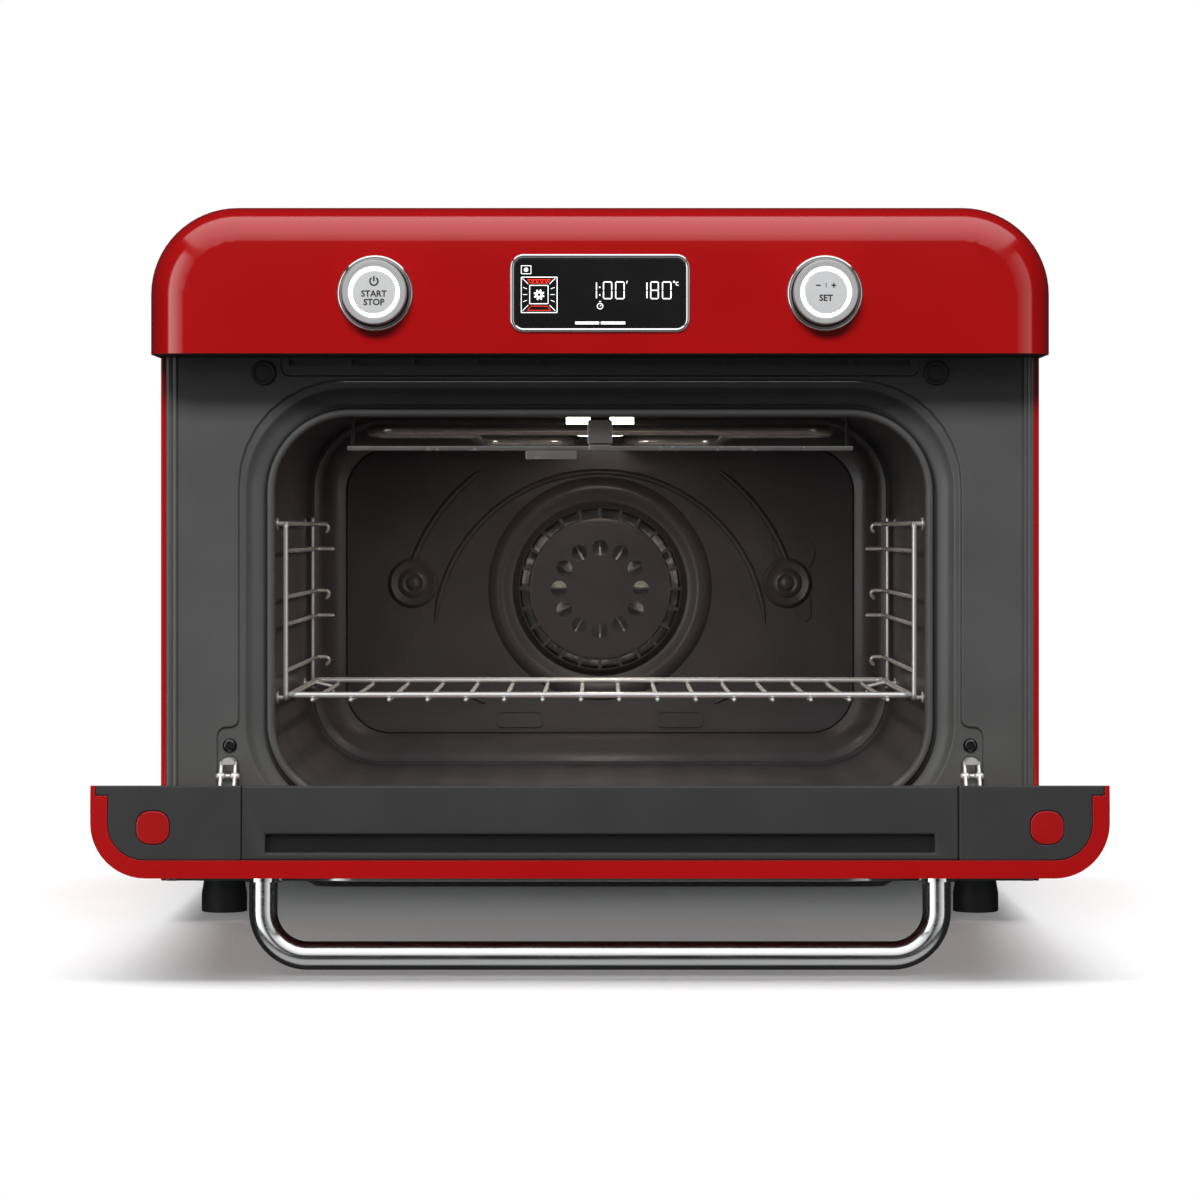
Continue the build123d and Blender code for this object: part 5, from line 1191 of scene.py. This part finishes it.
def flat_stroke(x0, z0, x1, z1, width, y=mark_y, pointed=True):
    """One flat stroke with tapered ends."""
    a = Vector((x0, z0))
    b = Vector((x1, z1))
    way = (b - a).normalized()
    across = Vector((-way.y, way.x)) * width / 2
    tip = way * width / 2 if pointed else Vector((0, 0))
    outline = [a, a + tip + across, b - tip + across, b, b - tip - across, a + tip - across]
    return [(p.x, y, p.y) for p in outline], [(0, 5, 4, 3, 2, 1)]


def digit(character, left, right):
    """The strokes of one seven-segment digit between two photo columns."""
    strokes = []
    x0, x1, z0, z1 = mark_x(left), mark_x(right), mark_z(digit_foot), mark_z(digit_top)
    for name in digit_segments[character]:
        (ax, az), (bx, bz) = segment_places[name]
        a = Vector((x0 + (x1 - x0) * ax, z0 + (z1 - z0) * az))
        b = Vector((x0 + (x1 - x0) * bx, z0 + (z1 - z0) * bz))
        way = (b - a).normalized() * 0.1
        strokes.append(flat_stroke(a.x + way.x, a.y + way.y, b.x - way.x, b.y - way.y, mark_width))
    return strokes


def mark_line(x0, y0, x1, y1, width=thin_mark):
    """One thin straight mark between two photo points."""
    return flat_stroke(mark_x(x0), mark_z(y0), mark_x(x1), mark_z(y1), width, pointed=False)


def mark_loop(points, width=thin_mark):
    """Thin marks joined round a closed shape given in photo points."""
    return [mark_line(*points[i - 1], *points[i], width) for i in range(len(points))]


def ring_mark(x, z, outer, inner, start=0.0, sweep=360.0, y=mark_y):
    """A flat ring or an arc of one."""
    points = []
    faces = []
    for k in range(mark_steps + 1):
        a = math.radians(start + sweep * k / mark_steps)
        points.append((x + outer * math.cos(a), y, z + outer * math.sin(a)))
        points.append((x + inner * math.cos(a), y, z + inner * math.sin(a)))
    for k in range(mark_steps):
        faces.append((2 * k, 2 * k + 1, 2 * k + 3, 2 * k + 2))
    return points, faces


def display_marks():
    """Lit time, temperature, cooking symbol and progress bar on the display's glass."""
    white = []
    for character, left, right in (("1", 592.0, 596.0), ("0", 603.0, 611.2), ("0", 615.2, 623.6),
                                   ("1", 642.0, 646.4), ("8", 650.2, 657.8), ("0", 662.0, 670.4)):
        white += digit(character, left, right)
    for row in (287.3, 295.0):
        white.append(flat_stroke(mark_x(599.3), mark_z(row) - 0.36, mark_x(599.3), mark_z(row) + 0.36, 0.72,
                                 pointed=False))
    white.append(mark_line(626.0, 283.6, 626.8, 280.8))
    white.append(ring_mark(mark_x(673.6), mark_z(281.9), 0.6, 0.28))
    white.append(ring_mark(mark_x(677.0), mark_z(283.8), 1.05, 0.68, 50, 260))
    white.append(ring_mark(mark_x(599.6), mark_z(306.2), 1.75, 1.35))
    white.append(mark_line(599.6, 306.4, 600.8, 304.8))
    white.append(mark_line(598.6, 301.6, 600.6, 301.6, 0.5))
    for start, end in ((574.7, 598.6), (600.4, 624.7)):
        white.append(mark_line(start, 323.0, end, 323.0, 1.5))
    white += mark_loop([(520.8, 277.2), (556.6, 277.2), (556.6, 312.6), (520.8, 312.6)])
    white += mark_loop([(529.2, 285.4), (547.6, 285.4), (547.6, 303.8), (529.2, 303.8)])
    across, down = 538.4, 294.6
    for side in (-1, 1):
        for row in (-1, 1):
            white.append(mark_line(across + side * 16.4, down + row * 16.2,
                                   across + side * 10.6, down + row * 10.6, 0.36))
            white.append(mark_line(across + side * 15.8, down + row * 7.2,
                                   across + side * 11.8, down + row * 5.6, 0.3))
        white.append(mark_line(across + side * 16.0, down, across + side * 11.6, down, 0.3))
    fan = (mark_x(538.6), mark_z(294.8))
    for k in range(8):
        a = math.radians(45.0 * k)
        white.append(flat_stroke(fan[0] + 0.7 * math.cos(a), fan[1] + 0.7 * math.sin(a),
                                 fan[0] + 3.1 * math.cos(a + 0.5), fan[1] + 3.1 * math.sin(a + 0.5), 1.05))
    white += mark_loop([(520.8, 265.8), (530.5, 265.8), (530.5, 273.8), (520.8, 273.8)], 0.34)
    white.append(ring_mark(mark_x(525.6), mark_z(269.8), 1.15, 0.0))
    piece("display_lit_marks", white, lit_white, "case", crease=10.0)
    red = mark_loop([(527.0, 279.6), (550.2, 279.6), (546.8, 283.2), (530.4, 283.2)], 0.36)
    red += mark_loop([(530.4, 306.2), (546.8, 306.2), (550.2, 310.4), (527.0, 310.4)], 0.36)
    for k in range(4):
        x = 530.6 + 4.6 * k
        red += mark_loop([(x, 279.8), (x + 3.2, 279.8), (x + 1.6, 283.0)], 0.4)
    piece("display_red_marks", red, lit_red, "case", crease=10.0)


def knob_parts(x):
    """Skins of one knob's ring, rim, light ring and button."""
    z = control_z
    ring = [(20.85, hood_front), (20.85, -49.4), (20.5, -50.2), (19.9, -50.5), (19.0, -50.5), (18.4, -50.1),
            (18.15, -49.3), (18.1, -46.2)]
    rim = [(14.1, -46.9), (17.65, -46.9), (17.7, -59.6), (17.6, -60.3), (17.35, -60.7), (17.1, -60.9),
           (17.0, -61.0), (14.3, -61.0), (14.1, -60.85), (14.1, -46.9)]
    light = [(11.8, -56.0), (13.9, -56.0), (13.9, -60.55), (13.8, -60.7), (11.9, -60.7), (11.8, -60.6),
             (11.8, -56.0)]
    button = [(11.45, -58.3), (11.45, -60.5), (11.3, -60.8), (10.8, -60.9), (0.6, -60.9)]
    return [turned(ring, 96, x, z, False), turned(rim, 96, x, z, False), turned(light, 96, x, z, False),
            turned(button, 96, x, z)]


def knobs():
    """Both knobs: ring in the hood, spun rim, lit ring and satin button."""
    left_ring, left_rim, left_light, left_button = knob_parts(-dial_x)
    right_ring, right_rim, right_light, right_button = knob_parts(dial_x)
    piece("knob_ring_chrome", [left_ring, right_ring], chrome, "case", "knob_rings")
    piece("knob_light_rings", [left_light, right_light], ring_light, "case", "light_rings")
    piece("start_dial_rim", [left_rim], left_spun, "start_dial", "start_dial")
    piece("set_dial_rim", [right_rim], right_spun, "set_dial", "set_dial")
    piece("start_button_cap", [left_button], button_plastic, "start_button",
          "start_button")
    piece("set_button_cap", [right_button], button_plastic, "set_button", "set_button")


button_face = -60.95
letter_size = 4.75
letter_swell = 0.13
letter_steps = 3


def written(name, words, x, z, size, body, finish):
    """Flat letters on a button's face."""
    data = bpy.data.curves.new(name, "FONT")
    data.body = words
    data.size = size * MM
    data.align_x = "CENTER"
    data.align_y = "CENTER"
    data.resolution_u = letter_steps
    data.offset = letter_swell * MM
    letters = new_thing(name, data)
    bpy.context.view_layer.update()
    mesh = bpy.data.meshes.new_from_object(letters.evaluated_get(bpy.context.evaluated_depsgraph_get()))
    bpy.data.objects.remove(letters)
    place = at(x, button_face, z)
    for v in mesh.vertices:
        v.co = (place.x + v.co.x, place.y, place.z + v.co.y)
    mesh.materials.clear()
    mesh.materials.append(finish)
    thing = new_thing(name, mesh)
    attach(thing, body)


def button_marks():
    """Black lettering and symbols on the two buttons."""
    written("start_word", "START", -dial_x, control_z - 1.1, letter_size, "start_button", black_ink)
    written("stop_word", "STOP", -dial_x, control_z - 5.7, letter_size, "start_button", black_ink)
    x = -dial_x
    z = control_z + 5.8
    parts = [ring_mark(x, z, 2.6, 1.75, 125, 290, button_face),
             flat_stroke(x, z - 0.1, x, z + 2.9, 0.85, button_face, False)]
    piece("power_symbol", parts, black_ink, "start_button", crease=10.0)
    written("set_word", "SET", dial_x, control_z - 3.4, letter_size, "set_button", black_ink)
    z = control_z + 3.6
    parts = []
    for px in (-4.2, 4.2):
        parts.append(flat_stroke(dial_x + px - 1.3, z, dial_x + px + 1.3, z, 0.7, button_face, False))
    parts.append(flat_stroke(dial_x + 4.2, z - 1.3, dial_x + 4.2, z + 1.3, 0.7, button_face, False))
    parts.append(flat_stroke(dial_x, z - 1.2, dial_x, z + 1.2, 0.4, button_face, False))
    piece("plus_minus_symbol", parts, black_ink, "set_button", crease=10.0)


hood_shell()
front_frame()
door_seal()
cavity()
side_racks()
wire_shelf()
grill()
grill_bracket()
oven_lamp()
hinge_arms()
cap_slot()
door_handle()
front_screws()
door_bumpers()
fan_guard()
display()
display_marks()
knobs()
button_marks()


# Finish of the pieces whose CAD shape is right

softened_pieces = [
    ("side_panels", "case", "red_enamel", red_enamel, 0.4),
    ("rear_panel", "case", "grey_enamel", frame_enamel, 0.2),
    ("hood_floor", "case", "dark_plastic", black_plastic, 0.3),
    ("feet", "case", "rubber", rubber, 0.6),
    ("hinge_pins", "case", "steel", stamped_steel, 0.2),
    ("case_screws", "case", "steel", stamped_steel, 0.2),
    ("tank_lid", "water_tank", "red_plastic", red_plastic, 0.6),
    ("door_skin", "door", "red_enamel", red_enamel, 0.5),
    ("door_inner_panel", "door", "grey_enamel", frame_enamel, 0.3),
    ("door_cap_centre", "door", "dark_plastic", cap_plastic, 1.1),
    ("door_cap_ends", "door", "dark_plastic", cap_plastic, 1.1),
    ("door_plugs", "door", "red_plastic", red_plastic, 0.6),
    ("outer_window", "door", "clear_glass", window_glass, 0.3),
    ("window_trim", "door", "chrome", steel_wire, 0.4),
]
for node, body, slot_name, finish, bevel in softened_pieces:
    softened(node, body, finish, bevel)

cad_finishes = {
    "red_enamel": red_enamel, "grey_enamel": frame_enamel, "cavity_enamel": cavity_enamel,
    "zinc_sheet": zinc_sheet, "steel": stamped_steel, "chrome": chrome, "satin_metal": right_spun,
    "dark_plastic": black_plastic, "red_plastic": red_plastic, "light_plastic": white_plastic,
    "rubber": rubber, "display_black": display_glass, "clear_glass": window_glass,
    "tank_plastic": tank_clear, "board_green": board_green, "blanket": wool, "heater_steel": heater_skin,
}
for part in frame["record"]["subparts"]:
    node = frame["nodes"][part["node"]]
    finish = cad_finishes[part["material_slot"]]
    if node.data.materials:
        for index in range(len(node.data.materials)):
            node.data.materials[index] = finish
    else:
        node.data.materials.append(finish)


# Studio


def soft_light(name, place, aim, width, height, power, colour="#FFFFFF"):
    """A rectangular soft light that faces a point, both in metres, and isn't mirrored in the oven."""
    data = bpy.data.lights.new(name, "AREA")
    data.shape = "RECTANGLE"
    data.size = width
    data.size_y = height
    data.energy = power
    data.color = tint(colour)[:3]
    lamp = new_thing(name, data)
    lamp.location = place
    lamp.rotation_euler = (Vector(aim) - Vector(place)).to_track_quat("-Z", "Y").to_euler()
    lamp.visible_glossy = False
    return lamp


def smooth_step(tree, value, low, high):
    """A mask that rises smoothly from 0 to 1 as a value goes from low to high."""
    return add(tree, "ShaderNodeMapRange", {"Value": value, "From Min": low, "From Max": high},
               interpolation_type="SMOOTHSTEP").outputs[0]


def math_node(tree, operation, first, second):
    """One arithmetic step."""
    return add(tree, "ShaderNodeMath", {0: first, 1: second}, operation=operation).outputs[0]


def product(tree, first, *others):
    """Several levels multiplied together."""
    for other in others:
        first = math_node(tree, "MULTIPLY", first, other)
    return first


def sky():
    """White background, soft ambient light, and in reflections a panel overhead, one a side and the floor."""
    world = bpy.data.worlds.new("white studio")
    world.use_nodes = True
    bpy.context.scene.world = world
    tree = world.node_tree
    tree.nodes.clear()
    way = add(tree, "ShaderNodeTexCoord").outputs["Generated"]
    split = add(tree, "ShaderNodeSeparateXYZ", {0: way}).outputs
    x, y, z = split["X"], split["Y"], split["Z"]
    aside = math_node(tree, "ABSOLUTE", x, 0.0)
    lean = math_node(tree, "SUBTRACT", z, aside)
    tilt = math_node(tree, "SUBTRACT", product(tree, aside, side_tilt), z)
    overhead = product(tree, smooth_step(tree, lean, *panel_blur),
                       smooth_step(tree, y, panel_rear, panel_rear - panel_blur[1]),
                       ramp(tree, z, *panel_rise, panel_front_light, panel_top_light),
                       smooth_step(tree, z, *panel_low))
    side_panel = product(tree, smooth_step(tree, tilt, *panel_blur), smooth_step(tree, y, *side_rear),
                         smooth_step(tree, z, *side_low), ramp(tree, aside, *side_fade),
                         ramp(tree, x, -side_change, side_change, left_panel_light, right_panel_light))
    below = product(tree, smooth_step(tree, z, *glow_steep), smooth_step(tree, y, *glow_forward), floor_glow)
    panels = math_node(tree, "ADD", overhead, side_panel)
    mirrored_room = math_node(tree, "ADD", math_node(tree, "ADD", panels, below), room_dark)
    above = smooth_step(tree, z, *ambient_range)
    ambient = ramp(tree, above, 0.0, 1.0, ambient_below, ambient_above)
    ray = add(tree, "ShaderNodeLightPath").outputs
    room = add(tree, "ShaderNodeMix", {0: ray["Is Glossy Ray"], 2: ambient, 3: mirrored_room},
               data_type="FLOAT").outputs[0]
    strength = add(tree, "ShaderNodeMix", {0: ray["Is Camera Ray"], 2: room, 3: 1.0},
                   data_type="FLOAT").outputs[0]
    back = add(tree, "ShaderNodeBackground", {"Color": (1.0, 1.0, 1.0, 1.0), "Strength": strength})
    add(tree, "ShaderNodeOutputWorld", {"Surface": back.outputs[0]})
    world.cycles.sampling_method = "NONE"


def studio():
    """White floor and background, soft lights and the camera. The floor also glows, more towards the front:
    painted light that lifts the shadow under the oven.
    """
    sky()
    floor_mesh = bpy.data.meshes.new("studio_floor")
    corners = [(-floor_half, floor_front, 0), (floor_half, floor_front, 0), (floor_half, floor_rear, 0),
               (-floor_half, floor_rear, 0)]
    floor_mesh.from_pydata(corners, [], [(0, 1, 2, 3)])
    floor = new_thing("studio_floor", floor_mesh)
    material, tree, shader, place = new_material("white paper sweep", Roughness=0.9)
    paper = noise(tree, place, 80.0, 2.0)
    paint(tree, shader, paper, "#FAFAFA", "#FDFDFD")
    # The floor glows more towards the front: painted light that lifts the shadow under the oven and its door.
    forward = add(tree, "ShaderNodeSeparateXYZ", {0: place}).outputs["Y"]
    fill = product(tree, smooth_step(tree, forward, *painted_lift_range), painted_shadow_lift)
    tree.links.new(fill, shader.inputs["Emission Strength"])
    floor_mesh.materials.append(material)
    floor.visible_diffuse = False
    floor.visible_glossy = False
    floor_only = bpy.data.collections.new("floor only")
    floor_only.objects.link(floor)
    overhead = soft_light("floor light", (0.0, 0.95, 2.4), (0.0, 0.95, 0.0), 5.0, 3.0, floor_light_power)
    overhead.light_linking.receiver_collection = floor_only
    all_but_floor = bpy.data.collections.new("all but the floor")
    all_but_floor.objects.link(floor)
    all_but_floor.collection_objects[0].light_linking.link_state = "EXCLUDE"
    front = soft_light("front softbox", (-0.3, -2.7, 1.95), (0.0, 0.0, 0.2), 1.4, 0.6, front_light_power)
    front.light_linking.receiver_collection = all_but_floor
    for side in (-1, 1):
        soft_light("rear light", (side * 2.2, 2.6, 0.7), (0.0, 0.2, 0.2), 0.8, 0.8, rear_light_power)
    soft_light("oven lamp", at(0.0, lamp_y, 272.0), at(0.0, lamp_y, 0.0), 0.05, 0.03, oven_lamp_power,
               "#FFF1DC")
    camera = bpy.data.cameras.new("camera")
    camera.lens = camera_lens
    camera.sensor_width = camera_sensor
    camera.shift_y = camera_shift
    eye = new_thing("camera", camera)
    eye.location = camera_place
    eye.rotation_euler = (math.radians(90.0), 0.0, 0.0)
    bpy.context.scene.camera = eye
    bpy.context.scene.view_settings.view_transform = "Standard"


studio()
